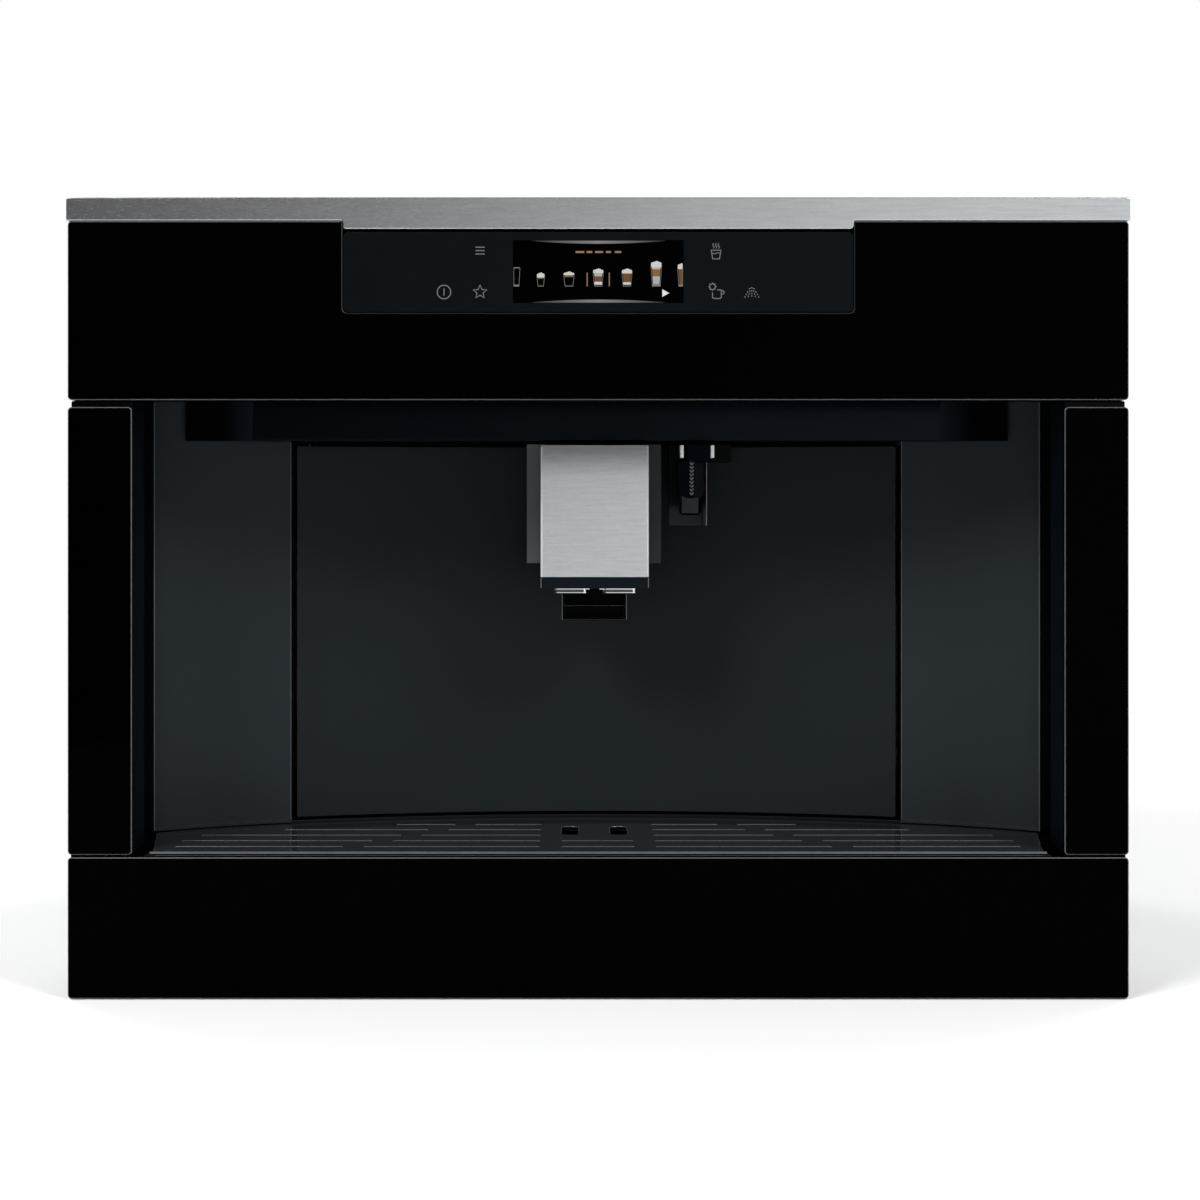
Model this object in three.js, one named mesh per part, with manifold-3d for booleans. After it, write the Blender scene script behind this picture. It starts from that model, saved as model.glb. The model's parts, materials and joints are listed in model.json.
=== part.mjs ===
// Built-in coffee machine for a 45 cm niche, as an assembly of separate pieces.
// Millimetres, X to the right, Z up, the front faces -Y. Inside this file y = 0 is the
// plane of the front glasses and y grows towards the back; the group at the end is
// shifted so that the origin is the bottom centre of the whole.

import * as THREE from 'three';
import { mergeVertices } from 'three/addons/utils/BufferGeometryUtils.js';
import Module from 'manifold-3d';

const wasm = await Module();
wasm.setup();

// ---------------------------------------------------------------- driving dimensions

const gap = 0.3;                    // between pieces that touch
const slide = 0.6;                  // between pieces that slide past each other
const past = 1;                     // how far a cut runs past a face, or a joined block in
const overlap = 0.01;               // between two hollows that run into each other

// front
const frontWidth = 594.5;           // over the glasses
const nicheOverlap = 17.25;         // front past the niche's opening, each side
const trimOverhang = 1;             // top trim past the glass, each side
const glassThickness = 4;
const glassCorner = 2.2;
const lowerGlassHeight = 79.2;
const lowerColumnGap = 1.4;
const columnHeight = 250.9;
const columnWidth = 36;
const columnUpperGap = 3.9;
const upperGlassHeight = 100.2;
const trimHeight = 13.2;
const trimDrop = 4.7;               // the lip in the middle of the trim
const trimSheet = 1.2;
const trimDepth = 20;
const panelWidth = 285.6;           // control panel
const panelHeight = 44.8;
const panelBelowTrim = 1.7;
const panelCorner = 2.8;
const displayWidth = 95.8;
const displayHeight = 35.3;
const displayAbovePanelFoot = 5;
const displayDepth = 14;
const displayRecess = 0.5;
const panelFit = 0.5;               // control panel to the glass around it
const bossRadius = 3;
const boardThickness = 1.6;
const boardInset = 8;               // control board inside the panel's edge
const chipWidth = 16;
const chipHeight = 12;
const flangeFront = 17.7;           // y of the front flange
const flangeThickness = 4;
const flangeInset = 1;              // flange edge behind the glass edge
const frameFoot = 2;                // z of the front frame's lowest edge
const frameSill = 3.8;              // height of the frame's bottom bar

// pull-out handles and cup space
const handleDepth = 37;
const gripDepth = 31;               // finger gap behind a handle
const gripReach = 14.5;             // how far fingers reach behind it
const wallThickness = 2.5;
const wallSeamDepth = 102;          // wall face at the seams
const wallCentreDepth = 127;        // wall face in the middle
const seamHalf = 184;               // seam from the middle
const seamGap = 3.4;
const handleToWall = 1;             // wall edge outside the handle's inner face
const headerDepth = 75;             // header face behind the glass
const headerInset = 17.25;          // header's end inside the wall's front edge
const headerDrop = 20.8;            // header below the upper glass
const headerWall = 3;
const ceilingRise = 14;             // ceiling above the upper glass's lower edge
const ceilingSheet = 2.5;
const lampHalf = 70;
const lampWidth = 10;
const lampBehindFace = 8;
const lampDepth = 3.5;

// niche and rails
const nicheFloor = 1.5;             // z of the niche floor
const overallDepth = 361;
const sheet = 1.5;                  // niche base
const baseUpstand = 20;             // folded-up back edge of the niche base
const windowPitch = 150;            // openings in the niche base's floor
const windowHalf = 55;
const windowFrontMargin = 30;
const windowRearMargin = 40;
const casingSheet = 1.2;
const railHeight = 45;
const railThickness = 12.4;
const railSheet = 1.3;
const railFoot = 16;                // rail above the frame's foot
const railLip = 4;
const railMouth = 2.2;              // rail's open side to the machine's casing
const sleeveWall = 3;
const sleeveClearance = 1;          // sleeve to niche wall
const sleeveRear = 73;
const sleeveReturn = 2;             // folded-in back edge of the sleeve
const rearClearance = 7.5;          // rear panel to the niche base's back edge
const casingTop = 442;
const topSheet = 1.2;
const railRearClearance = 3;
const sideVent = { count: 6, pitch: 8, width: 4, height: 58, belowTop: 32, rearMargin: 60.3 };
const rearVent = { count: 8, pitch: 20, width: 8, height: 80, left: 60, foot: 130 };

// drip drawer
const grilleThickness = 2.4;
const grilleTop = 82.4;
const grilleClearance = 1.6;        // grille to cup-space wall
const grilleFront = 1;
const grilleCornerRadius = 9;
const slotWidth = 3;
const slotInnerEnd = 33.4;          // side slots start this far from the middle
const slotBridge = 12.5;            // solid bar between the two slots of a row
const slotRows = [                  // depth, outer end, middle of the bridge
  { depth: 97, outer: 121, bridge: 79.4 },
  { depth: 77, outer: 186, bridge: 94.5 },
  { depth: 57, outer: 232, bridge: 109.4 },
  { depth: 37, outer: 240, bridge: 124.3 },
  { depth: 17, outer: 240, bridge: 139 },
];
const middleSlotHalf = 20.4;
const dripHoleWidth = 10;
const dripHoleDepth = 31;
const dripHoleMiddle = 75;
const trayWall = 2.5;
const trayFoot = 10;
const trayInset = 7.25;             // basin inside the wall's front edge
const trayFrontInset = 9.25;        // tray's front wall inside the glass edge
const trayFrontWall = 3;
const trayBelowGlassTop = 2;
const traySideRear = 14;            // basin's sides end this far in front of its middle
const trayTailHalf = 112;
const trayTailRear = 300;
const runnerHalf = 96;
const runnerWidth = 10;
const runnerSetback = 20;
const binWall = 2;
const binInset = 22;                // grounds container inside the tray's tail
const binFront = 140;
const binCorner = 12;
const binClearance = 5;

// door, spout and hot water
const doorSkin = 3;
const doorRim = 10;
const doorBelowHeader = 2.6;
const pivotInset = 6.3;             // hinge axis inside the door's left edge
const pivotBehindFace = 5.84;
const pivotRadius = 2;
const pivotLength = 6;
const knuckleRadius = 5;
const spoutX = -1.5;                // middle of the coffee spout
const spoutFront = 45;
const spoutWidth = 63;
const spoutBelowHeader = 3.2;
const coverFoot = 234.6;
const bandHeight = 6.4;
const bandCorner = 0.6;
const coverSheet = 0.9;
const coverRearGap = 7.4;           // cover's back edge in front of the body's
const guideFront = 88;
const guideHalf = 40.5;
const guideBelowHeader = 1.6;
const guideFoot = 241.3;
const guideNotchHalf = 2;
const guideNotchDepth = 6;
const guideNotchHeight = 3;
const tongueHalf = 9.5;
const tongueDepth = 9.5;
const nozzleRadius = 10.3;
const nozzleBore = 7;
const nozzleSpacing = 28.8;
const nozzleY = 60;
const nozzleShow = 3.4;
const nozzleHidden = 11;
const gripHalf = 19.3;
const gripHeight = 20;
const gripFront = 70;
const gripRear = 86;
const gripWeb = 5;                  // grip's back plate behind its cheeks' front
const gripCheek = 2;
const gripLipRise = 9;
const gripLipHalf = 0.6;
const waterX = 56.3;                // middle of the hot-water spout
const bracketLeft = 44;
const bracketRight = 66.6;
const bracketBelowTip = 7.5;
const bracketFront = 96;
const bracketPlate = 4;
const bracketRim = 2;
const bracketRimDepth = 6;
const bracketStemDrop = 16.5;
const connectorRight = 81.5;
const connectorFront = 78;
const connectorBelowHeader = 1.6;
const connectorHeight = 10.5;
const connectorBlockDepth = 14;
const pillHalf = 7.6;
const pillDrop = 22.1;              // pill's foot below the connector block
const pillFront = 83;
const tipHalf = 4.9;
const tipDrop = 8.9;
const tipClearance = 1;
const plugHalf = 3;
const plugRise = 9;                 // plug above the pill's foot
const plugHeight = 6;
const plugDepth = 8;
const yokeHalf = 4;
const buttonWidth = 2.3;
const buttonHeight = 7.6;
const buttonFront = 66;
const buttonDepth = 14;
const buttonBelowTop = 1;
const buttonTravel = 1.5;
const buttonLeftX = 50.3;
const buttonRightX = 68.4;

// inside
const chassisFront = 140;
const chassisWall = 3;
const deckFoot = 82.5;              // lower deck
const doorAboveSill = 2.3;
const upperDeckLap = 30;            // upper deck in front of the chassis
const brewBayHalf = 95;
const leftDeckFoot = 330;
const rightDeckFoot = 283;
const tankLeft = 130;
const tankWall = 2.5;
const tankFront = 140;
const tankDepth = 160;
const tankCorner = 10;
const tankLidHeight = 3.5;
const tankGripHalf = 25;
const tankGripWidth = 6;
const tankGripSetback = 12;
const sideClearance = 4;
const hopperInset = 13.7;           // hopper's left side inside the casing
const hopperWidth = 138;
const hopperFront = 120;
const hopperDepth = 138;
const hopperWall = 2.5;
const hopperShoulder = 385;
const outletHalf = 19;
const outletRim = 6;
const outletHeight = 5;
const lidThickness = 3;
const lidOverlap = 5;
const lidCorner = 8;
const funnelHalf = 28;
const funnelWall = 2;
const funnelBesideHopper = 62;      // its axis from the hopper's right side
const funnelY = 182;
const funnelCollar = 30;
const funnelLidOverlap = 3;
const funnelLidCorner = 5;
const funnelMouthHalf = 14;
const funnelMouthX = -24;
const funnelMouthY = 196;
const coverLap = 2;                 // top cover inside the hopper's and funnel's edge
const knobRadius = 19;
const knobHeight = 4.3;
const knobY = 300;
const stemRadius = 4;
const grinderRadius = 48;
const grinderBore = 41.5;
const grinderFoot = 252;
const grinderFloor = 4;
const chuteHalf = 11;
const chuteRise = 6;
const chuteHeight = 22;
const chuteWall = 2;
const chuteReach = 20;              // chute's end past the brew bay's wall
const upperBurrHeight = 12;
const burrRadius = 38;
const burrThickness = 13;
const burrFoot = 282;
const paddleHalf = 3;
const paddleDrop = 8;
const paddleReach = 2;
const shaftRadius = 5;
const shaftDrop = 16;               // burr's shaft below the grinder
const motorRadius = 42;
const motorHeight = 110;
const motorBoreDepth = 20;
const pistonRadius = 21.6;
const pistonFoot = 264;
const brewY = 205;
const brewBore = 22.2;
const brewTop = 303.7;
const brewPlate = 6;
const brewPlateFront = 26;          // top plate in front of the brew axis
const brewBaseFront = 12;
const brewHalf = 72;
const columnRadius = 5;
const columnX = 54;
const chamberFoot = 122;
const chamberHeight = 74;
const chamberHalf = 64;
const chamberDepth = 54;
const chamberFloor = 10;
const nutHalf = 14;
const nutRise = 20;
const nutHeight = 30;
const screwRadius = 6;
const screwY = 252;
const brewBackplate = 272;
const brewMotorRadius = 20;
const gearHalf = 30;
const gearHeight = 50;
const puckHalf = 42;
const puckSetback = 12;
const puckDepth = 33;
const boilerRadius = 42;
const boilerHeight = 145;
const boilerInset = 21.7;           // boiler to the casing's inside
const boilerNeck = 8;
const boilerY = 195;
const pumpRadius = 23;
const pumpFront = 262;
const pumpLength = 76;
const pumpFlangeInset = 15;
const pumpPortRadius = 5;
const pumpPortSetback = 12;
const pumpPortRise = 6;
const hoseRadius = 4;
const valveInset = 28.7;            // tank valve to the casing's inside
const valveY = 275;
const hoseHoleFront = 190;
const hoseHoleRear = 220;
const hoseHoleFoot = 262;
const hoseHoleTop = 281;
const powerBoardInset = 18.7;       // board to the casing's inside
const powerBoardToBay = 20;
const powerBoardFoot = 110;
const powerBoardHeight = 150;
const powerBoardPost = 10;          // posts inside the board's corners
const componentDepth = 18;
const inletWidth = 30;
const inletHeight = 24;
const inletDepth = 26;
const inletInset = 43.7;            // mains inlet's middle to the casing's inside
const inletZ = 44;
const inletEar = 8;
const inletLip = 3;
const socketHalf = 12;
const socketHalfHeight = 8;
const socketDepth = 12;
const contactSpacing = 7;
const contactHalf = 1.2;
const contactHalfHeight = 2;
const switchSpacing = 45;           // rocker switch beside the mains inlet
const switchWidth = 14;
const switchHeight = 20;
const switchDepth = 8;
const rockerRaise = 3;              // raised end of the rocker

// ------------------------------------------------------------------- worked-out sizes

const glassHalf = frontWidth / 2;
const trimHalf = glassHalf + trimOverhang;
const columnFoot = lowerGlassHeight + lowerColumnGap;
const columnTop = columnFoot + columnHeight;
const columnInner = glassHalf - columnWidth;
const upperFoot = columnTop + columnUpperGap;
const upperTop = upperFoot + upperGlassHeight;
const trimFoot = upperTop + gap;
const frontTop = trimFoot + trimHeight;
const panelTop = trimFoot - trimDrop - panelBelowTrim;
const panelFoot = panelTop - panelHeight;
const displayFoot = panelFoot + displayAbovePanelFoot;
const flangeHalf = glassHalf - flangeInset;
const flangeRear = flangeFront + flangeThickness;
const frameTop = frontTop - trimSheet - gap;
const sillTop = frameFoot + frameSill;
const backing = glassThickness + gap;      // y where the glass carriers start
const wallFrontHalf = columnInner + handleToWall;
const wallFrontDepth = handleDepth + gripDepth;
const headerHalf = wallFrontHalf - headerInset;
const nicheHalf = glassHalf - nicheOverlap;
const sleeveOuter = nicheHalf - sleeveClearance;
const sleeveInner = sleeveOuter - sleeveWall;
const headerFoot = upperFoot - headerDrop;
const ceilingFoot = upperFoot + ceilingRise;
const ceilingTop = ceilingFoot + ceilingSheet;
const casingHalf = nicheHalf - sheet - railThickness - 3 * gap;
const casingFoot = sillTop - gap - sheet;
const casingFront = sleeveRear + gap;
const casingRear = overallDepth - rearClearance - casingSheet;
const rearPanelBack = casingRear + gap + casingSheet;
const insideHalf = casingHalf - casingSheet - gap;
const deckTop = deckFoot + chassisWall;
const chassisRear = casingRear - gap;
const leftDeckTop = leftDeckFoot + chassisWall;
const rightDeckTop = rightDeckFoot + chassisWall;
const grilleFoot = grilleTop - grilleThickness;
const trayTop = grilleFoot - gap;
const sillFoot = deckFoot - 0.9;
const sillTopFace = sillFoot + 2.4;
const tailTop = sillFoot - 2 * slide;
const doorEdge = seamHalf - seamGap / 2;
const doorFoot = sillTopFace + doorAboveSill;
const doorTop = headerFoot - doorBelowHeader;
const spoutTop = headerFoot - spoutBelowHeader;
const guideTop = headerFoot - guideBelowHeader;
const connectorTop = headerFoot - connectorBelowHeader;
const connectorFoot = connectorTop - connectorHeight;
const pillFoot = connectorFoot - pillDrop;
const tipFoot = pillFoot - tipDrop;
const bracketFoot = tipFoot - bracketBelowTip;
const pivotX = -(doorEdge - pivotInset);   // hinge axis of the door
const trayHalf = wallFrontHalf - trayInset;
const trayFrontHalf = glassHalf - trayFrontInset;
const trayBasinRear = wallCentreDepth + 1;
const hopperLeft = hopperInset - insideHalf;
const grinderX = hopperLeft + hopperWidth / 2;
const funnelX = hopperLeft + hopperWidth + funnelBesideHopper;
const grinderY = hopperFront + hopperDepth / 2;
const boilerX = insideHalf - boilerInset - boilerRadius;
const pumpX = boilerX;
const valveX = insideHalf - valveInset;
const inletX = inletInset - insideHalf;
const switchX = inletX + switchSpacing;

// ------------------------------------------------------------------------ solid tools

function toSolid(geometry) {
  const bare = geometry.index ? geometry.toNonIndexed() : geometry.clone();
  bare.deleteAttribute('normal');
  bare.deleteAttribute('uv');
  const merged = mergeVertices(bare, 1e-4);
  return new wasm.Manifold(new wasm.Mesh({
    numProp: 3,
    vertProperties: new Float32Array(merged.attributes.position.array),
    triVerts: new Uint32Array(merged.index.array),
  }));
}

function toGeometry(solid) {
  const mesh = solid.getMesh();
  const geometry = new THREE.BufferGeometry();
  const points = new Float32Array(mesh.numVert * 3);
  for (let i = 0; i < mesh.numVert; i += 1) {
    for (let k = 0; k < 3; k += 1) {
      points[3 * i + k] = mesh.vertProperties[mesh.numProp * i + k];
    }
  }
  geometry.setAttribute('position', new THREE.BufferAttribute(points, 3));
  geometry.setIndex(new THREE.BufferAttribute(new Uint32Array(mesh.triVerts), 1));
  geometry.computeVertexNormals();
  return geometry;
}

function join(...solids) {
  return solids.reduce((all, one) => all.add(one));
}

function cut(solid, ...tools) {
  return tools.reduce((rest, tool) => rest.subtract(tool), solid);
}

function box(x0, x1, y0, y1, z0, z1) {
  const geometry = new THREE.BoxGeometry(x1 - x0, y1 - y0, z1 - z0);
  geometry.translate((x0 + x1) / 2, (y0 + y1) / 2, (z0 + z1) / 2);
  return toSolid(geometry);
}

function outline(points) {
  return new THREE.Shape(points.map(([a, b]) => new THREE.Vector2(a, b)));
}

function roundedRect(a0, a1, b0, b1, radius) {
  const shape = new THREE.Shape();
  const r = Math.min(radius, (a1 - a0) / 2 - gap, (b1 - b0) / 2 - gap);
  shape.moveTo(a0 + r, b0);
  shape.lineTo(a1 - r, b0);
  shape.absarc(a1 - r, b0 + r, r, -Math.PI / 2, 0);
  shape.lineTo(a1, b1 - r);
  shape.absarc(a1 - r, b1 - r, r, 0, Math.PI / 2);
  shape.lineTo(a0 + r, b1);
  shape.absarc(a0 + r, b1 - r, r, Math.PI / 2, Math.PI);
  shape.lineTo(a0, b0 + r);
  shape.absarc(a0 + r, b0 + r, r, Math.PI, 1.5 * Math.PI);
  return shape;
}

function extrude(shape, length, curveSegments) {
  return new THREE.ExtrudeGeometry(shape, {
    depth: length, bevelEnabled: false, steps: 1, curveSegments,
  });
}

// a shape in X and Y, raised from z0 to z1
function upright(shape, z0, z1, curveSegments = 6) {
  const geometry = extrude(shape, z1 - z0, curveSegments);
  geometry.translate(0, 0, z0);
  return toSolid(geometry);
}

// a shape in X and Z, drawn from y0 back to y1
function facing(shape, y0, y1, curveSegments = 4) {
  const geometry = extrude(shape, y1 - y0, curveSegments);
  geometry.rotateX(Math.PI / 2);
  geometry.translate(0, y1, 0);
  return toSolid(geometry);
}

function disc(radius, x, y, z0, z1, segments = 28) {
  const geometry = new THREE.CylinderGeometry(radius, radius, z1 - z0, segments);
  geometry.rotateX(Math.PI / 2);
  geometry.translate(x, y, (z0 + z1) / 2);
  return toSolid(geometry);
}

function rodAlongY(radius, x, z, y0, y1, segments = 28) {
  const geometry = new THREE.CylinderGeometry(radius, radius, y1 - y0, segments);
  geometry.translate(x, (y0 + y1) / 2, z);
  return toSolid(geometry);
}

function turned(profile, x, y, segments = 28) {
  const geometry = new THREE.LatheGeometry(
    profile.map(([r, z]) => new THREE.Vector2(r, z)), segments);
  geometry.rotateX(Math.PI / 2);
  geometry.translate(x, y, 0);
  return toSolid(geometry);
}

// a block whose foot and top are two rectangles [x0, x1, y0, y1]
function taper(foot, top, z0, z1) {
  const corners = (r, z) => [
    [r[0], r[2], z], [r[1], r[2], z], [r[1], r[3], z], [r[0], r[3], z]];
  const points = [...corners(foot, z0), ...corners(top, z1)];
  const faces = [
    [0, 3, 2, 1], [4, 5, 6, 7], [0, 1, 5, 4], [1, 2, 6, 5], [2, 3, 7, 6], [3, 0, 4, 7]];
  const geometry = new THREE.BufferGeometry();
  geometry.setAttribute('position', new THREE.Float32BufferAttribute(points.flat(), 3));
  geometry.setIndex(faces.flatMap(([a, b, c, d]) => [a, b, c, a, c, d]));
  return toSolid(geometry);
}

function hose(points, radius) {
  const path = new THREE.CatmullRomCurve3(points.map((p) => new THREE.Vector3(...p)));
  const ring = new THREE.Shape();
  ring.absarc(0, 0, radius, 0, 2 * Math.PI);
  return toSolid(new THREE.ExtrudeGeometry(ring, {
    steps: 26, curveSegments: 5, bevelEnabled: false, extrudePath: path,
  }));
}

// ---------------------------------------------------------- plan curve of the cup space

// The wall face in plan: one arc between the seams and a tighter arc on each side that
// carries on its direction and ends at the wall's front edge.
const sagitta = wallCentreDepth - wallSeamDepth;
const centreRadius = (seamHalf ** 2 + sagitta ** 2) / (2 * sagitta);
const seamAngle = Math.asin(seamHalf / centreRadius);
const sideChord = Math.hypot(wallFrontHalf - seamHalf, wallSeamDepth - wallFrontDepth);
const chordAngle = Math.atan2(wallSeamDepth - wallFrontDepth, wallFrontHalf - seamHalf);
const sideRadius = sideChord / (2 * Math.sin(chordAngle - seamAngle));
const endAngle = 2 * chordAngle - seamAngle;

// point on the wall face at the angle its normal makes with Y, moved back by offset
function wallPoint(angle, offset) {
  const side = Math.sign(angle) || 1;
  const a = Math.abs(angle);
  const centreY = wallCentreDepth - centreRadius;
  if (a <= seamAngle) {
    const r = centreRadius + offset;
    return [side * r * Math.sin(a), centreY + r * Math.cos(a)];
  }
  const x = seamHalf - sideRadius * Math.sin(seamAngle);
  const y = wallSeamDepth - sideRadius * Math.cos(seamAngle);
  const r = sideRadius + offset;
  return [side * (x + r * Math.sin(a)), y + r * Math.cos(a)];
}

function wallCurve(offset, from, to, steps) {
  const points = [];
  for (let i = 0; i <= steps; i += 1) {
    points.push(wallPoint(from + (to - from) * (i / steps), offset));
  }
  return points;
}

// depth of the wall face at a distance from the middle, inside the seams
function wallDepth(x) {
  return wallCentreDepth - centreRadius + Math.sqrt(centreRadius ** 2 - x ** 2);
}

const pivotY = wallDepth(pivotX) + pivotBehindFace;

const mirrorX = (points) => points.map(([x, y]) => [-x, y]).reverse();
const sides = [['left', -1], ['right', 1]];

// two values on one side of the machine, given as distances from the middle
function across(side, inner, outer) {
  return side < 0 ? [-outer, -inner] : [inner, outer];
}

// rectangles in plan, as [x0, x1, y0, y1]
const around = (x, y, half) => [x - half, x + half, y - half, y + half];
const grow = ([x0, x1, y0, y1], by) => [x0 - by, x1 + by, y0 - by, y1 + by];
const between = (from, to, share) => from + (to - from) * share;

// -------------------------------------------------------------------------- materials

const finish = (color, roughness, metalness) => ({ color, roughness, metalness });
const blackGlass = finish(0x050607, 0.08, 0);
const panelGloss = finish(0x12161a, 0.12, 0);
const steelBrushed = finish(0xa9adb0, 0.35, 1);
const steelSheet = finish(0x9a9ea2, 0.45, 1);
const chrome = finish(0xd5d8da, 0.12, 1);
const charcoal = finish(0x1c1f22, 0.5, 0);
const blackPlastic = finish(0x101113, 0.45, 0);
const greyPlastic = finish(0x55595d, 0.5, 0);
const clearSmoke = finish(0x4a5258, 0.15, 0);
const boardGreen = finish(0x1f4d33, 0.5, 0);
const aluminium = finish(0xb4b7ba, 0.4, 1);
const brassTone = finish(0xb08d4a, 0.35, 1);
const hoseWhite = finish(0xd9dcdc, 0.5, 0);
const lampWhite = finish(0xf3f1ea, 0.4, 0);

const machine = new THREE.Group();

function piece(name, solid, look) {
  const mesh = new THREE.Mesh(toGeometry(solid), new THREE.MeshStandardMaterial(look));
  mesh.name = name;
  machine.add(mesh);
}

// ------------------------------------------------------------------ niche and the rails

function nicheBase() {
  const foot = nicheFloor;
  const front = casingFront + sheet;
  const upstand = railFoot + railHeight + sheet;
  const floor = box(-nicheHalf, nicheHalf, front, overallDepth, foot, foot + sheet);
  const back = box(-nicheHalf, nicheHalf, overallDepth - sheet, overallDepth,
    foot, foot + baseUpstand);
  const cheeks = sides.map(([, side]) => {
    const [x0, x1] = across(side, nicheHalf - sheet, nicheHalf);
    return box(x0, x1, front, overallDepth, foot, frameFoot + upstand);
  });
  const windows = [-1, 0, 1].map((i) => box(i * windowPitch - windowHalf,
    i * windowPitch + windowHalf, front + windowFrontMargin, overallDepth - windowRearMargin,
    foot - past, foot + sheet + past));
  piece('niche_base', cut(join(floor, back, ...cheeks), ...windows), steelSheet);
}

function rails() {
  const front = casingFront + 2 * sheet;
  const rear = overallDepth - sheet - railRearClearance;
  const z0 = frameFoot + railFoot;
  const z1 = z0 + railHeight;
  const t = railSheet;
  const outerFace = nicheHalf - sheet - gap;
  const mouth = outerFace - railThickness + railMouth;
  const midWeb = outerFace - t - slide;
  const midMouth = mouth + slide;
  const lip = railLip;
  const baseFace = casingHalf + gap;
  for (const [label, side] of sides) {
    const flip = (points) => outline(side > 0 ? points : mirrorX(points));
    const outer = [
      [mouth, z0], [outerFace, z0], [outerFace, z1], [mouth, z1],
      [mouth, z1 - t - lip], [mouth + t, z1 - t - lip], [mouth + t, z1 - t],
      [outerFace - t, z1 - t], [outerFace - t, z0 + t], [mouth + t, z0 + t],
      [mouth + t, z0 + t + lip], [mouth, z0 + t + lip]];
    piece(`cabinet_rail_${label}`, facing(flip(outer), front, rear), steelSheet);
    const m0 = z0 + t + slide;
    const m1 = z1 - t - slide;
    const inside = midMouth + t;
    const middle = [
      [inside, m0], [midWeb, m0], [midWeb, m1], [inside, m1],
      [inside, m1 - t - lip], [inside + t, m1 - t - lip], [inside + t, m1 - t],
      [midWeb - t, m1 - t], [midWeb - t, m0 + t], [inside + t, m0 + t],
      [inside + t, m0 + t + lip], [inside, m0 + t + lip]];
    piece(`middle_rail_${label}`, facing(flip(middle), front, rear), steelSheet);
    const head0 = inside + t + slide;
    const head1 = midWeb - t - slide;
    const n0 = m0 + t + slide;
    const n1 = m1 - t - slide;
    const neck0 = m0 + t + lip + slide;
    const neck1 = m1 - t - lip - slide;
    const inner = [
      [baseFace, neck0], [head0, neck0], [head0, n0], [head1, n0],
      [head1, n1], [head0, n1], [head0, neck1], [baseFace, neck1]];
    piece(`machine_rail_${label}`, facing(flip(inner), front, rear), steelSheet);
  }
}

// ----------------------------------------------------------------------------- front

function frontFrame() {
  const ring = box(-flangeHalf, flangeHalf, flangeFront, flangeRear, frameFoot, frameTop);
  const boxPart = box(-flangeHalf, flangeHalf, backing, flangeFront + past,
    upperFoot, frameTop);
  const lipPart = box(-flangeHalf, flangeHalf, trimSheet + gap, backing + past,
    trimFoot + gap, frameTop);
  const sleeves = sides.map(([, side]) => {
    const [x0, x1] = across(side, sleeveInner, sleeveOuter);
    return box(x0, x1, flangeRear - past, sleeveRear, sillTop, casingTop);
  });
  const returns = sides.map(([, side]) => {
    const [x0, x1] = across(side, wallFrontHalf + 1, sleeveOuter);
    return box(x0, x1, sleeveRear - sleeveReturn, sleeveRear, sillTop, casingTop);
  });
  const roof = box(-sleeveOuter, sleeveOuter, flangeRear - past, sleeveRear,
    casingTop - sleeveWall, casingTop);
  const opening = box(-sleeveInner, sleeveInner, -past, flangeRear + past,
    sillTop, upperFoot);
  const bayHalf = panelWidth / 2 - boardInset / 2;
  const bayMargin = boardInset / 4;
  const bay = box(-bayHalf, bayHalf, -past, flangeRear + past,
    panelFoot + bayMargin, panelTop - bayMargin);
  piece('front_frame', cut(join(ring, boxPart, lipPart, ...sleeves, ...returns, roof),
    opening, bay), blackPlastic);
}

function topTrim() {
  const dropHalf = panelWidth / 2 + panelFit;
  const face = box(-trimHalf, trimHalf, 0, trimSheet, trimFoot, frontTop);
  const drop = box(-dropHalf, dropHalf, 0, trimSheet, trimFoot - trimDrop, trimFoot + past);
  const top = box(-trimHalf, trimHalf, 0, trimDepth, frontTop - trimSheet, frontTop);
  const ends = sides.map(([, side]) => {
    const [x0, x1] = across(side, trimHalf - trimSheet, trimHalf);
    return box(x0, x1, 0, trimDepth, trimFoot, frontTop);
  });
  piece('top_trim', join(face, drop, top, ...ends), steelBrushed);
}

function frontGlasses() {
  const windowHalfWidth = panelWidth / 2 + panelFit;
  const window = roundedRect(-windowHalfWidth, windowHalfWidth,
    panelFoot - panelFit, upperTop + 4 * panelCorner, panelCorner);
  const upper = facing(roundedRect(-glassHalf, glassHalf, upperFoot, upperTop, glassCorner),
    0, glassThickness);
  piece('upper_glass_panel', cut(upper, facing(window, -past, glassThickness + past)),
    blackGlass);
  for (const [label, side] of sides) {
    const [x0, x1] = across(side, columnInner, glassHalf);
    piece(`column_glass_${label}`, facing(
      roundedRect(x0, x1, columnFoot, columnTop, glassCorner), 0, glassThickness), blackGlass);
  }
  piece('lower_glass_panel', facing(
    roundedRect(-glassHalf, glassHalf, 0, lowerGlassHeight, glassCorner),
    0, glassThickness), blackGlass);
}

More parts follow.
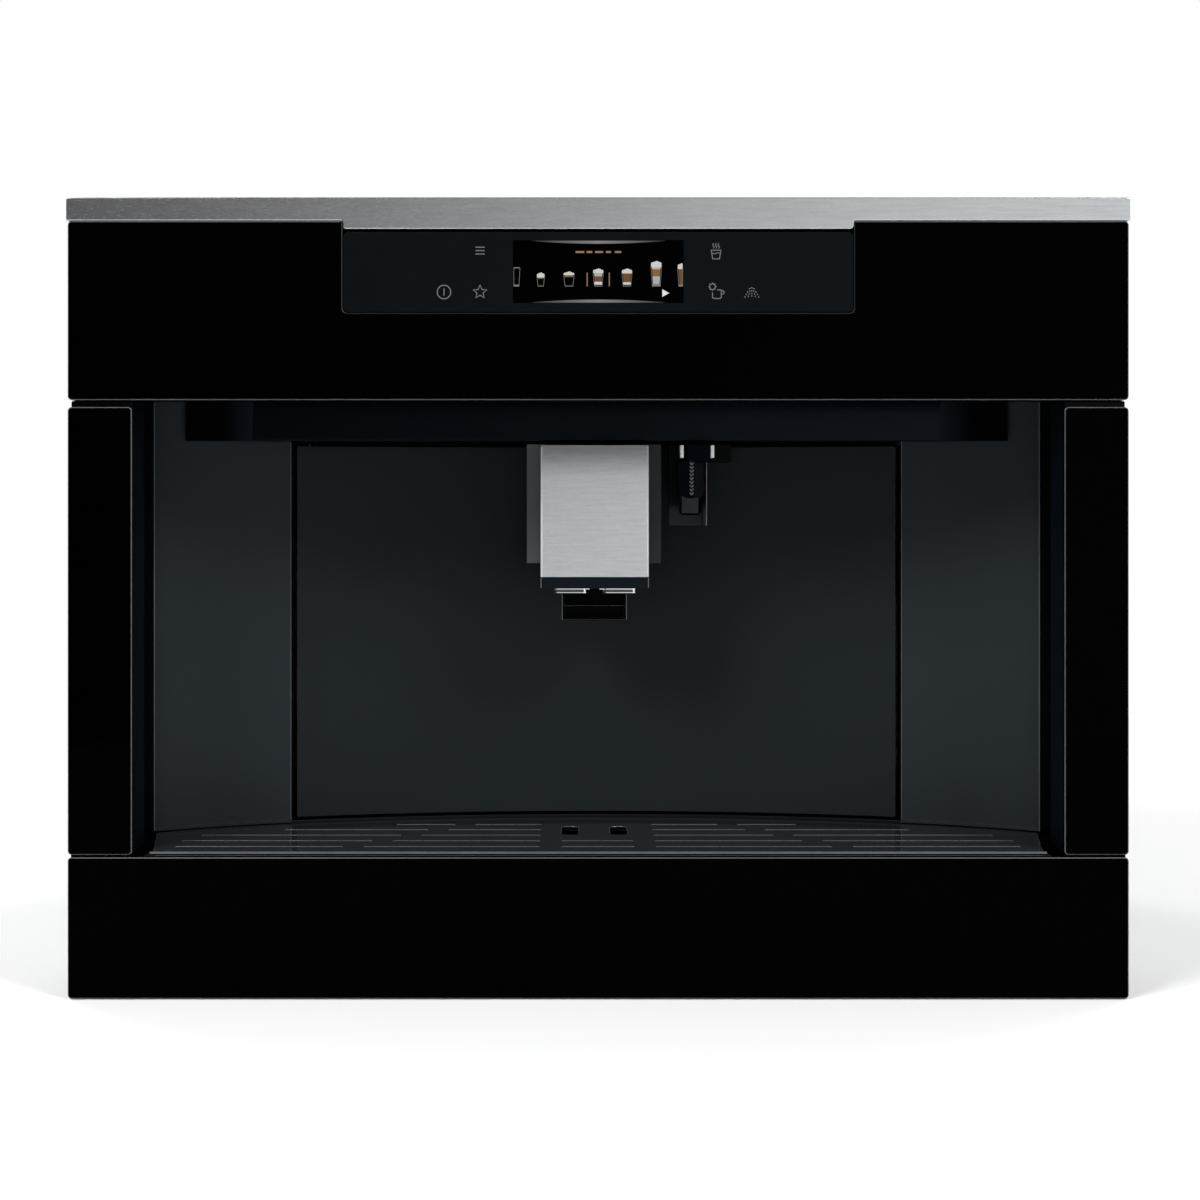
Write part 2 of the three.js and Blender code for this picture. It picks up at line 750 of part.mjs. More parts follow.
function controls() {
  const half = panelWidth / 2;
  const screenHalf = displayWidth / 2;
  const skin = facing(roundedRect(-half, half, panelFoot, panelTop, panelCorner),
    0, glassThickness);
  const window = box(-screenHalf, screenHalf, -past, glassThickness + past,
    displayFoot, displayFoot + displayHeight);
  const bosses = [];
  for (const x of [-0.85, -0.45, 0.45, 0.85]) {
    for (const z of [0.25, 0.75]) {
      bosses.push(rodAlongY(bossRadius, x * half, panelFoot + z * panelHeight,
        glassThickness - past, displayDepth, 14));
    }
  }
  piece('control_panel', join(cut(skin, window), ...bosses), panelGloss);
  piece('display_module', box(-screenHalf + gap, screenHalf - gap, displayRecess,
    displayDepth, displayFoot + gap, displayFoot + displayHeight - gap), blackGlass);
  const y0 = displayDepth + gap;
  const boardMargin = boardInset / 2;
  const board = box(-half + boardInset, half - boardInset, y0, y0 + boardThickness,
    panelFoot + boardMargin, panelTop - boardMargin);
  const chipFoot = panelFoot + (panelHeight - chipHeight) / 2;
  const chips = [-0.7, -0.4, 0.15, 0.55].map((x) => box(x * half, x * half + chipWidth,
    y0 + past, y0 + 3 * boardThickness, chipFoot, chipFoot + chipHeight));
  piece('control_board', join(board, ...chips), boardGreen);
}

function handles() {
  const wingRear = flangeFront - gap;
  for (const [label, side] of sides) {
    const inner = columnInner + panelFit;
    const grip = sleeveInner - gap;
    const points = [
      [inner, backing], [flangeHalf, backing], [flangeHalf, wingRear], [grip, wingRear],
      [grip, handleDepth], [inner, handleDepth]];
    const shape = outline(side > 0 ? points : mirrorX(points));
    piece(`handle_bar_${label}`, upright(shape, columnFoot, upperFoot - gap), blackPlastic);
  }
}

// -------------------------------------------------------------------------- cup space

function cupSpace() {
  const seamEnd = seamAngle + seamGap / 2 / sideRadius;
  const foot = sillTopFace + gap;
  for (const [label, side] of sides) {
    const face = wallCurve(0, seamEnd, endAngle, 8);
    const back = wallCurve(wallThickness, seamEnd, endAngle, 8).reverse();
    const reach = wallFrontHalf + gripReach - 1;
    const points = [...face, [reach, wallFrontDepth],
      [reach, wallFrontDepth + wallThickness], ...back];
    const shape = outline(side > 0 ? points : mirrorX(points));
    piece(`side_wall_${label}`, upright(shape, foot, ceilingFoot - gap), charcoal);
  }
}

function header() {
  const sideArc = wallCurve(-slide, seamAngle, endAngle * 0.8, 6)
    .filter(([x]) => x < headerHalf);
  const back = wallCentreDepth + doorRim + 1;
  const stepX = seamHalf + gap / 2;
  const right = [[headerHalf, headerDepth],
    ...sideArc.reverse().filter(([, y]) => y > headerDepth + 1), [stepX, back]];
  const shape = outline([...right, ...mirrorX(right)]);
  const beam = upright(shape, headerFoot, ceilingFoot + past);
  const wellHalf = stepX - headerWall;
  const wellFoot = headerFoot + headerWall;
  const well = box(-wellHalf, wellHalf, headerDepth + headerWall,
    wallSeamDepth - headerWall, wellFoot, ceilingTop + past);
  const rearWell = box(-brewBayHalf, brewBayHalf, wallSeamDepth, back - headerWall,
    wellFoot, ceilingTop + past);
  const ceiling = box(-sleeveInner + gap, sleeveInner - gap, flangeRear + gap,
    sleeveRear - sleeveReturn - gap, ceilingFoot, ceilingTop);
  const bridge = box(-headerHalf, headerHalf, sleeveRear - sleeveReturn - past, back,
    ceilingFoot, ceilingTop);
  const lampFront = headerDepth + lampBehindFace;
  const lampRear = lampFront + lampWidth;
  const lampCut = box(-lampHalf, lampHalf, lampFront, lampRear, headerFoot - past,
    wellFoot + past);
  const pin = disc(pivotRadius, pivotX, pivotY, doorTop - pivotLength,
    headerFoot + past, 16);
  piece('header_housing', join(cut(join(beam, ceiling, bridge), well, rearWell, lampCut), pin),
    blackPlastic);
  piece('cup_light', box(-lampHalf + gap, lampHalf - gap, lampFront + gap, lampRear - gap,
    wellFoot - 2.5, wellFoot - 2.5 + lampDepth), lampWhite);
}

// -------------------------------------------------------------------- door and spouts

function serviceDoor() {
  const edge = Math.asin(doorEdge / centreRadius);
  const inner = Math.asin((doorEdge - doorSkin) / centreRadius);
  const face = wallCurve(0, -edge, edge, 22);
  const rimY = wallDepth(doorEdge) + doorRim;
  const back = wallCurve(doorSkin, -inner, inner, 22).reverse();
  const points = [...face, [doorEdge, rimY], [doorEdge - doorSkin, rimY], ...back,
    [-doorEdge + doorSkin, rimY], [-doorEdge, rimY]];
  const shell = upright(outline(points), doorFoot, doorTop);
  const knuckle = disc(knuckleRadius, pivotX, pivotY, doorFoot, doorTop, 20);
  const boreLength = pivotLength + past;
  const bores = [[doorFoot - past, doorFoot + boreLength],
    [doorTop - boreLength, doorTop + past]].map(([z0, z1]) => disc(
    pivotRadius + slide, pivotX, pivotY, z0, z1, 16));
  piece('service_door', cut(join(shell, knuckle), ...bores), charcoal);

  const x = spoutX;
  const guideRear = wallDepth(guideHalf + Math.abs(spoutX)) - gap;
  const body = box(x - guideHalf, x + guideHalf, guideFront, guideRear, guideFoot, guideTop);
  const groove = box(x - tongueHalf - slide, x + tongueHalf + slide, guideFront - past,
    guideFront + tongueDepth + slide, guideFoot - past, guideTop + past);
  const notches = [-1, 1].map((side) => {
    const middle = x + side * (spoutWidth / 2 - 1);
    return box(middle - guideNotchHalf, middle + guideNotchHalf, guideFront - past,
      guideFront + guideNotchDepth, guideFoot - past, guideFoot + guideNotchHeight);
  });
  piece('spout_guide', cut(body, groove, ...notches), blackPlastic);
}

function spout() {
  const x = spoutX;
  const half = spoutWidth / 2;
  const rear = guideFront - slide;
  const bandTop = coverFoot - gap;
  const bandFoot = bandTop - bandHeight;
  const coreHalf = half - coverSheet - gap;
  const core = box(x - coreHalf, x + coreHalf, spoutFront + coverSheet + gap, rear,
    bandFoot + past, spoutTop - coverSheet - gap);
  const band = facing(roundedRect(x - half, x + half, bandFoot, bandTop, bandCorner),
    spoutFront + gap, rear);
  const tongue = box(x - tongueHalf, x + tongueHalf, rear - past, guideFront + tongueDepth,
    bandTop, spoutTop - 2 * past);
  const gripTop = bandFoot + past;
  const gripFoot = bandFoot - gripHeight;
  const grip = box(x - gripHalf, x + gripHalf, gripFront + gripWeb, gripRear,
    gripFoot, gripTop);
  const cheeks = [[-gripHalf, -gripHalf + gripCheek], [gripHalf - gripCheek, gripHalf]].map(
    ([a, b]) => box(x + a, x + b, gripFront, gripRear, gripFoot, gripTop));
  const shelf = box(x - gripHalf, x + gripHalf, gripFront, gripRear,
    gripFoot, gripFoot + gripCheek);
  const lip = box(x - gripHalf, x + gripHalf, gripFront + gripCheek, gripRear,
    gripFoot + gripLipRise - gripLipHalf, gripFoot + gripLipRise + gripLipHalf);
  const pockets = [-1, 1].map((side) => disc(nozzleRadius + gap,
    x + side * nozzleSpacing / 2, nozzleY, bandFoot - past, bandFoot + nozzleHidden + gap));
  piece('spout_body', cut(join(core, band, tongue, grip, ...cheeks, shelf, lip), ...pockets),
    blackPlastic);

  const shell = box(x - half, x + half, spoutFront, rear - coverRearGap - slide,
    coverFoot, spoutTop);
  const hollow = box(x - half + coverSheet, x + half - coverSheet, spoutFront + coverSheet,
    rear + past, coverFoot - past, spoutTop - coverSheet);
  piece('spout_cover', cut(shell, hollow), steelBrushed);

  const tip = bandFoot - nozzleShow;
  for (const [label, side] of sides) {
    const r = nozzleRadius;
    const profile = [[nozzleBore, tip + 0.6], [r - 1.6, tip], [r - 0.5, tip + 0.5],
      [r, tip + 1.6], [r, bandFoot + nozzleHidden], [nozzleBore, bandFoot + nozzleHidden],
      [nozzleBore, tip + 0.6]];
    piece(`nozzle_${label}`, turned(profile, x + side * nozzleSpacing / 2, nozzleY), chrome);
  }
}

function hotWater() {
  const rear = wallDepth(connectorRight) - gap;
  const plateRear = bracketFront + bracketPlate;
  const stemFoot = connectorFoot - bracketStemDrop;
  const stemTop = connectorFoot + 2 * past;
  const blockFront = connectorFront + connectorBlockDepth;
  const pillTop = connectorFoot - gap;
  const plate = box(bracketLeft, bracketRight, bracketFront, plateRear,
    bracketFoot, stemTop);
  const stem = box(bracketLeft + bracketPlate, bracketRight - bracketRim, plateRear - past,
    rear, stemFoot, stemTop);
  const rim = box(bracketRight - bracketRim, bracketRight, bracketFront - bracketRimDepth,
    bracketFront + past, bracketFoot, pillTop);
  const block = box(bracketLeft, connectorRight, blockFront, rear,
    connectorFoot, connectorTop);
  const tipCut = box(waterX - tipHalf - tipClearance, waterX + tipHalf + tipClearance,
    bracketFront - past, plateRear + past, tipFoot - past, stemFoot);
  const plugFoot = pillFoot + plugRise;
  const socket = box(waterX - plugHalf - slide, waterX + plugHalf + slide,
    bracketFront - past, bracketFront + plugDepth + 2 * past,
    plugFoot, plugFoot + plugHeight + 2 * slide);
  piece('hot_water_bracket', cut(join(plate, stem, rim, block), tipCut, socket), charcoal);

  const pillRear = bracketFront - gap;
  const pill = facing(roundedRect(waterX - pillHalf, waterX + pillHalf,
    pillFoot, pillTop, pillHalf), pillFront, pillRear, 6);
  const neck = box(waterX - pillHalf, waterX + pillHalf, pillFront, pillRear,
    pillTop - 1.5 * pillHalf, pillTop);
  const reach = buttonWidth / 2 + buttonTravel + gap;
  const head = box(buttonLeftX + reach, buttonRightX - reach, buttonFront,
    blockFront - gap, connectorFoot, connectorTop - buttonBelowTop / 2);
  const yoke = box(waterX - yokeHalf, waterX + yokeHalf, pillFront, blockFront - gap,
    connectorFoot - 2 * past, connectorFoot + past);
  const tip = box(waterX - tipHalf, waterX + tipHalf, pillFront + bracketRim,
    pillRear - past, tipFoot, pillFoot + tipHalf);
  const plug = box(waterX - plugHalf, waterX + plugHalf, pillRear - past,
    bracketFront + plugDepth, plugFoot + slide, plugFoot + plugHeight + slide);
  piece('hot_water_spout', join(pill, neck, head, yoke, tip, plug), greyPlastic);

  const buttonTop = connectorTop - buttonBelowTop;
  for (const [label, x] of [['left', buttonLeftX], ['right', buttonRightX]]) {
    piece(`release_button_${label}`, box(x - buttonWidth / 2, x + buttonWidth / 2,
      buttonFront, buttonFront + buttonDepth, buttonTop - buttonHeight, buttonTop), chrome);
  }
}

// ------------------------------------------------------------------------ drip drawer

function grilleOutline() {
  const half = columnInner - slide;
  const back = wallCurve(-grilleClearance, -endAngle, endAngle, 40)
    .filter(([x]) => Math.abs(x) < half);
  const r = grilleCornerRadius;
  const corner = [[half, wallFrontDepth - grilleClearance]];
  for (let i = 0; i <= 5; i += 1) {
    const a = (Math.PI / 2) * (i / 5);
    corner.push([half - r + r * Math.cos(a), grilleFront + r - r * Math.sin(a)]);
  }
  return outline([...back, ...corner, ...mirrorX(corner)]);
}

function dripDrawer() {
  const slots = [];
  slotRows.forEach((row, index) => {
    const y0 = row.depth - slotWidth / 2;
    const y1 = row.depth + slotWidth / 2;
    const bars = [[slotInnerEnd, row.bridge - slotBridge / 2],
      [row.bridge + slotBridge / 2, row.outer]];
    for (const [, side] of sides) {
      for (const [inner, outer] of bars) {
        const [x0, x1] = across(side, inner, outer);
        slots.push(box(x0, x1, y0, y1, grilleFoot - 1, grilleTop + 1));
      }
    }
    if (index > 2) {
      slots.push(box(-middleSlotHalf, middleSlotHalf, y0, y1, grilleFoot - 1, grilleTop + 1));
    }
  });
  const holes = [-1, 1].map((side) => {
    const x = spoutX + side * nozzleSpacing / 2;
    return box(x - dripHoleWidth / 2, x + dripHoleWidth / 2, dripHoleMiddle - dripHoleDepth / 2,
      dripHoleMiddle + dripHoleDepth / 2, grilleFoot - 1, grilleTop + 1);
  });
  piece('cup_grille', cut(upright(grilleOutline(), grilleFoot, grilleTop), ...slots, ...holes),
    blackGlass);

  const w = trayWall;
  const sideRear = trayBasinRear - traySideRear;
  const throatHalf = seamHalf - 2 * runnerWidth;
  const basin = box(-trayHalf, trayHalf, backing, sideRear, trayFoot, trayTop);
  const throat = box(-throatHalf, throatHalf, sideRear - past, trayBasinRear,
    trayFoot, trayTop);
  const tail = box(-trayTailHalf, trayTailHalf, trayBasinRear - past, trayTailRear,
    trayFoot, tailTop);
  const frontWall = box(-trayFrontHalf, trayFrontHalf, backing, backing + trayFrontWall,
    trayFoot, lowerGlassHeight - trayBelowGlassTop);
  const runners = [-1, 1].map((side) => box(
    side * runnerHalf - runnerWidth / 2, side * runnerHalf + runnerWidth / 2,
    backing + runnerSetback, trayTailRear, casingFoot + sheet + slide, trayFoot + past));
  const basinHollow = box(-trayHalf + w, trayHalf - w, backing + trayFrontWall + past,
    sideRear - w, trayFoot + w, trayTop + past);
  const tailHollow = box(-trayTailHalf + w, trayTailHalf - w, trayBasinRear + w,
    trayTailRear - w, trayFoot + w, trayTop + past);
  piece('drip_tray', cut(join(basin, throat, tail, frontWall, ...runners),
    basinHollow, tailHollow), blackPlastic);

  const half = trayTailHalf - binInset;
  const binRear = trayTailRear - w - binClearance;
  const binFoot = trayFoot + w + gap;
  const bin = upright(roundedRect(-half, half, binFront, binRear, binCorner),
    binFoot, tailTop - binWall);
  const binHollow = upright(roundedRect(-half + binWall, half - binWall,
    binFront + binWall, binRear - binWall, binCorner - binWall),
  binFoot + binWall, tailTop + past);
  piece('grounds_container', cut(bin, binHollow), greyPlastic);
}

// ----------------------------------------------------------------------------- casing

function casing() {
  const inner = casingHalf - casingSheet;
  const folded = facing(outline([
    [-casingHalf, casingFoot], [casingHalf, casingFoot], [casingHalf, casingTop],
    [inner, casingTop], [inner, casingFoot + sheet], [-inner, casingFoot + sheet],
    [-inner, casingTop], [-casingHalf, casingTop]]), casingFront, casingRear);
  const apron = box(-inner, inner, flangeRear + gap, casingFront + past,
    casingFoot, casingFoot + sheet);
  const vents = [];
  const ventTop = casingTop - sideVent.belowTop;
  for (const [, side] of sides) {
    const [x0, x1] = across(side, inner - past, casingHalf + past);
    for (let i = 0; i < sideVent.count; i += 1) {
      const y0 = casingRear - sideVent.rearMargin + i * sideVent.pitch;
      vents.push(box(x0, x1, y0, y0 + sideVent.width, ventTop - sideVent.height, ventTop));
    }
  }
  piece('body_casing', cut(join(folded, apron), ...vents), steelSheet);

  const y0 = casingRear - past;
  const y1 = rearPanelBack + past;
  const back = box(-casingHalf, casingHalf, casingRear + gap, rearPanelBack,
    casingFoot, casingTop);
  const rearVents = [];
  for (let i = 0; i < rearVent.count; i += 1) {
    const x = rearVent.left + i * rearVent.pitch;
    rearVents.push(box(x, x + rearVent.width, y0, y1,
      rearVent.foot, rearVent.foot + rearVent.height));
  }
  const inletCut = box(inletX - inletWidth / 2, inletX + inletWidth / 2, y0, y1,
    inletZ - inletHeight / 2, inletZ + inletHeight / 2);
  const rockRoom = 2 * slide;
  const switchCut = box(switchX - switchWidth / 2 - slide, switchX + switchWidth / 2 + slide,
    y0, y1, inletZ - switchHeight / 2 - rockRoom, inletZ + switchHeight / 2 + rockRoom);
  piece('rear_panel', cut(back, ...rearVents, inletCut, switchCut), steelSheet);

  const cover = box(-casingHalf, casingHalf, casingFront, rearPanelBack,
    casingTop + gap, casingTop + gap + topSheet);
  const z0 = casingTop - past;
  const z1 = casingTop + topSheet + 2 * past;
  const lap = coverLap;
  const hopperCut = box(hopperLeft + lap, hopperLeft + hopperWidth - lap,
    hopperFront + lap, hopperFront + hopperDepth - lap, z0, z1);
  const funnelEdge = funnelHalf - lap;
  const funnelCut = box(funnelX - funnelEdge, funnelX + funnelEdge,
    funnelY - funnelEdge, funnelY + funnelEdge, z0, z1);
  const tankRoom = slide * 3;
  const tankCut = box(tankLeft - tankRoom, insideHalf - sideClearance + tankRoom,
    tankFront - tankRoom, tankFront + tankDepth + tankRoom, z0, z1);
  const knobCut = disc(stemRadius + slide, grinderX, knobY, z0, z1, 16);
  piece('top_cover', cut(cover, hopperCut, funnelCut, tankCut, knobCut), steelSheet);
}

function chassis() {
  const t = chassisWall;
  const half = insideHalf;
  const floor = box(-half, half, chassisFront, chassisRear, deckFoot, deckTop);
  const partitions = sides.map(([, side]) => {
    const [x0, x1] = across(side, brewBayHalf, brewBayHalf + t);
    return box(x0, x1, chassisFront, chassisRear, deckTop - past, leftDeckTop);
  });
  const bayEnd = brewBayHalf + t;
  const z0 = leftDeckFoot - past;
  const z1 = leftDeckTop + past;
  const upper = box(-half, bayEnd, chassisFront - upperDeckLap, chassisRear,
    leftDeckFoot, leftDeckTop);
  const upperCut = box(-seamHalf - 4 * t, bayEnd + past, 0, chassisFront, z0, z1);
  const shelf = box(brewBayHalf, half, chassisFront, chassisRear, rightDeckFoot, rightDeckTop);
  const sillFace = wallCurve(1, -endAngle * 0.93, endAngle * 0.93, 26);
  const sillCorner = casingFront + 1;
  const sill = upright(outline([...sillFace, [half, sillCorner], [half, chassisFront + past],
    [-half, chassisFront + past], [-half, sillCorner]]), sillFoot, sillTopFace);
  const pin = disc(pivotRadius, pivotX, pivotY, deckFoot + past, doorFoot + pivotLength, 16);
  const puckFront = chassisFront + puckSetback;
  const puckHole = box(-puckHalf, puckHalf, puckFront, puckFront + puckDepth,
    deckFoot - past, deckTop + past);
  const beanHole = disc(outletHalf - 1, grinderX, grinderY, z0, z1);
  const room = 2 * t;
  const funnelHole = box(funnelX - funnelMouthHalf - funnelWall,
    funnelMouthX + funnelMouthHalf + room, funnelY - funnelMouthHalf - room - funnelWall,
    funnelMouthY + funnelMouthHalf + room, z0, z1);
  const knobHole = disc(stemRadius + slide, grinderX, knobY, z0, z1, 16);
  const hoseHole = box(brewBayHalf - past, bayEnd + past, hoseHoleFront, hoseHoleRear,
    hoseHoleFoot, hoseHoleTop);
  const shelfHole = disc(hoseRadius + 2, valveX, valveY, rightDeckFoot - past,
    rightDeckTop + past, 16);
  const chuteRoom = 2;
  const chuteFoot = grinderFoot + chuteRise;
  const chuteHole = box(-bayEnd - past, -brewBayHalf + past,
    grinderY - chuteHalf - chuteRoom, grinderY + chuteHalf + chuteRoom,
    chuteFoot - chuteRoom, chuteFoot + chuteHeight + chuteRoom);
  piece('inner_chassis', cut(
    join(floor, ...partitions, cut(upper, upperCut), shelf, sill, pin),
    puckHole, beanHole, funnelHole, knobHole, hoseHole, shelfHole, chuteHole), blackPlastic);
}

// ----------------------------------------------------------------- water, beans, coffee

function waterTank() {
  const x1 = insideHalf - sideClearance;
  const y1 = tankFront + tankDepth;
  const foot = rightDeckTop + gap;
  const top = casingTop - tankLidHeight - gap;
  const w = tankWall;
  const body = upright(roundedRect(tankLeft, x1, tankFront, y1, tankCorner), foot, top);
  const hollow = upright(roundedRect(tankLeft + w, x1 - w, tankFront + w, y1 - w,
    tankCorner - w), foot + w, top + past);
  piece('water_tank', cut(body, hollow), clearSmoke);
  const lidTop = top + gap + tankLidHeight;
  const middle = (tankLeft + x1) / 2;
  const gripFoot = tankFront + tankGripSetback;
  const lid = upright(roundedRect(tankLeft, x1, tankFront, y1, tankCorner),
    top + gap, lidTop);
  const gripBar = box(middle - tankGripHalf, middle + tankGripHalf,
    gripFoot, gripFoot + tankGripWidth, lidTop - past, lidTop + tankLidHeight);
  piece('water_tank_lid', join(lid, gripBar), greyPlastic);
}

function beans() {
  const x0 = hopperLeft;
  const x1 = hopperLeft + hopperWidth;
  const y0 = hopperFront;
  const y1 = hopperFront + hopperDepth;
  const foot = leftDeckTop + gap;
  const top = casingTop - gap;
  const w = hopperWall;
  const rim = [x0, x1, y0, y1];
  const mouth = grow(around(grinderX, grinderY, outletHalf), w);
  const body = join(box(...rim, hopperShoulder, top),
    taper(mouth, rim, foot + outletHeight - past, hopperShoulder + overlap),
    box(...grow(mouth, outletRim), foot, foot + outletHeight));
  const hollow = join(box(...grow(rim, -w), hopperShoulder, top + past),
    taper(grow(mouth, -w), grow(rim, -w), foot + outletHeight - past,
      hopperShoulder + overlap),
    box(...grow(mouth, -w), foot - past, foot + outletHeight));
  piece('bean_hopper', cut(body, hollow), clearSmoke);
  const lidZ = casingTop + gap + topSheet + gap;
  piece('bean_lid', upright(roundedRect(...grow(rim, lidOverlap), lidCorner),
    lidZ, lidZ + lidThickness), greyPlastic);

  const collar = around(funnelX, funnelY, funnelHalf);
  const low = around(funnelMouthX, funnelMouthY, funnelMouthHalf);
  const collarFoot = top - funnelCollar;
  const funnelFoot = brewTop + brewPlate + gap;
  const outer = join(box(...collar, collarFoot, top),
    taper(low, collar, funnelFoot, collarFoot + overlap));
  const inner = join(box(...grow(collar, -funnelWall), collarFoot, top + past),
    taper(grow(low, -funnelWall), grow(collar, -funnelWall), funnelFoot - overlap,
      collarFoot + overlap));
  piece('powder_funnel', cut(outer, inner), greyPlastic);
  piece('powder_lid', upright(roundedRect(...grow(collar, funnelLidOverlap),
    funnelLidCorner), lidZ, lidZ + lidThickness), greyPlastic);

  const dial = disc(knobRadius, grinderX, knobY, lidZ, lidZ + knobHeight, 36);
  const stem = disc(stemRadius, grinderX, knobY, leftDeckFoot, lidZ + past, 16);
  piece('grind_knob', join(dial, stem), greyPlastic);
}

function grinder() {
  const foot = grinderFoot;
  const top = leftDeckFoot - gap;
  const floorZ = foot + grinderFloor;
  const onAxis = (radius, z0, z1, segments) => disc(radius, grinderX, grinderY, z0, z1,
    segments);
  const shellOuter = onAxis(grinderRadius, foot, top, 36);
  const shellSide = grinderX + grinderRadius;
  const chuteEnd = -brewBayHalf + chuteReach;
  const chuteFoot = foot + chuteRise;
  const chute = box(shellSide - chuteHalf, chuteEnd, grinderY - chuteHalf,
    grinderY + chuteHalf, chuteFoot, chuteFoot + chuteHeight);
  const bore = onAxis(grinderBore, floorZ, top + past, 36);
  const chuteInside = chuteHalf - chuteWall;
  const chuteHollow = box(shellSide - 2 * chuteInside, chuteEnd + past,
    grinderY - chuteInside, grinderY + chuteInside,
    chuteFoot + chuteWall, chuteFoot + chuteHeight - chuteWall);
  const shaftHole = onAxis(shaftRadius + slide, foot - past, floorZ + past, 16);
  const ringFoot = burrFoot + burrThickness + 2 * slide;
  const ringTop = ringFoot + upperBurrHeight;
  const upperBurr = cut(onAxis(grinderBore + past, ringFoot, ringTop, 36),
    onAxis(outletHalf - 1, ringFoot - past, ringTop + past, 28));
  piece('grinder_housing', join(cut(join(shellOuter, chute), bore, chuteHollow, shaftHole),
    upperBurr), greyPlastic);

  const burr = onAxis(burrRadius, burrFoot, burrFoot + burrThickness, 36);
  const paddleEnd = burrRadius + paddleReach;
  const paddle = box(grinderX - paddleEnd, grinderX + paddleEnd, grinderY - paddleHalf,
    grinderY + paddleHalf, burrFoot - paddleDrop, burrFoot + past);
  const shaft = onAxis(shaftRadius, foot - shaftDrop, burrFoot + past, 16);
  piece('lower_burr', join(burr, paddle, shaft), steelSheet);
  const motorTop = foot - gap;
  piece('grinder_motor', cut(onAxis(motorRadius, motorTop - motorHeight, motorTop, 32),
    onAxis(shaftRadius + slide, motorTop - motorBoreDepth, motorTop + past, 16)),
  steelSheet);
}

function brewUnit() {
  const foot = deckTop + gap;
  const plateTop = brewTop + brewPlate;
  const back = box(-brewHalf, brewHalf, brewBackplate, brewBackplate + brewPlate,
    foot, plateTop);
  const top = box(-brewHalf, brewHalf, brewY - brewPlateFront, brewBackplate + past,
    brewTop, plateTop);
  const base = box(-brewHalf, brewHalf, brewY - brewBaseFront, brewBackplate + past,
    foot, foot + brewPlate);
  const columns = [-1, 1].map((side) => disc(columnRadius, side * columnX, brewY,
    foot + past, brewTop + past, 16));
  const piston = disc(pistonRadius, 0, brewY, pistonFoot, brewTop + past, 28);
  const powderLeft = funnelMouthX - funnelMouthHalf + funnelWall;
  const powderFront = funnelMouthY - funnelMouthHalf + 2 * funnelWall;
  const powderHole = box(powderLeft, powderLeft + funnelMouthHalf - funnelWall,
    powderFront, powderFront + funnelMouthHalf, brewTop - past, plateTop + past);
  piece('brew_frame', join(cut(join(back, top), powderHole), base, ...columns, piston),
    greyPlastic);

  const chamberTop = chamberFoot + chamberHeight;
  const y0 = brewY - chamberDepth / 2;
  const y1 = y0 + chamberDepth;
  const nutFoot = chamberFoot + nutRise;
  const block = box(-chamberHalf, chamberHalf, y0, y1, chamberFoot, chamberTop);
  const nut = box(-nutHalf, nutHalf, y1 - past, screwY + nutHalf, nutFoot,
    nutFoot + nutHeight);
  const bore = disc(brewBore, 0, brewY, chamberFoot + chamberFloor, chamberTop + past, 28);
  const guides = [-1, 1].map((side) => disc(columnRadius + slide, side * columnX, brewY,
    chamberFoot - past, chamberTop + past, 16));
  const screwBore = disc(screwRadius + slide, 0, screwY, chamberFoot, chamberTop, 20);
  piece('brew_chamber', cut(join(block, nut), bore, ...guides, screwBore), greyPlastic);

  piece('lead_screw', disc(screwRadius, 0, screwY, foot + brewPlate + gap, brewTop - gap, 20),
    steelSheet);
  const gearRear = chassisRear - brewMotorRadius;
  const gearBox = box(-gearHalf, gearHalf, brewBackplate + brewPlate + gap, gearRear,
    foot, foot + gearHeight);
  const motor = rodAlongY(brewMotorRadius, 0, foot + gearHeight / 2, gearRear - past,
    chassisRear - 2 * past);
  piece('brew_motor', join(gearBox, motor), steelSheet);
}

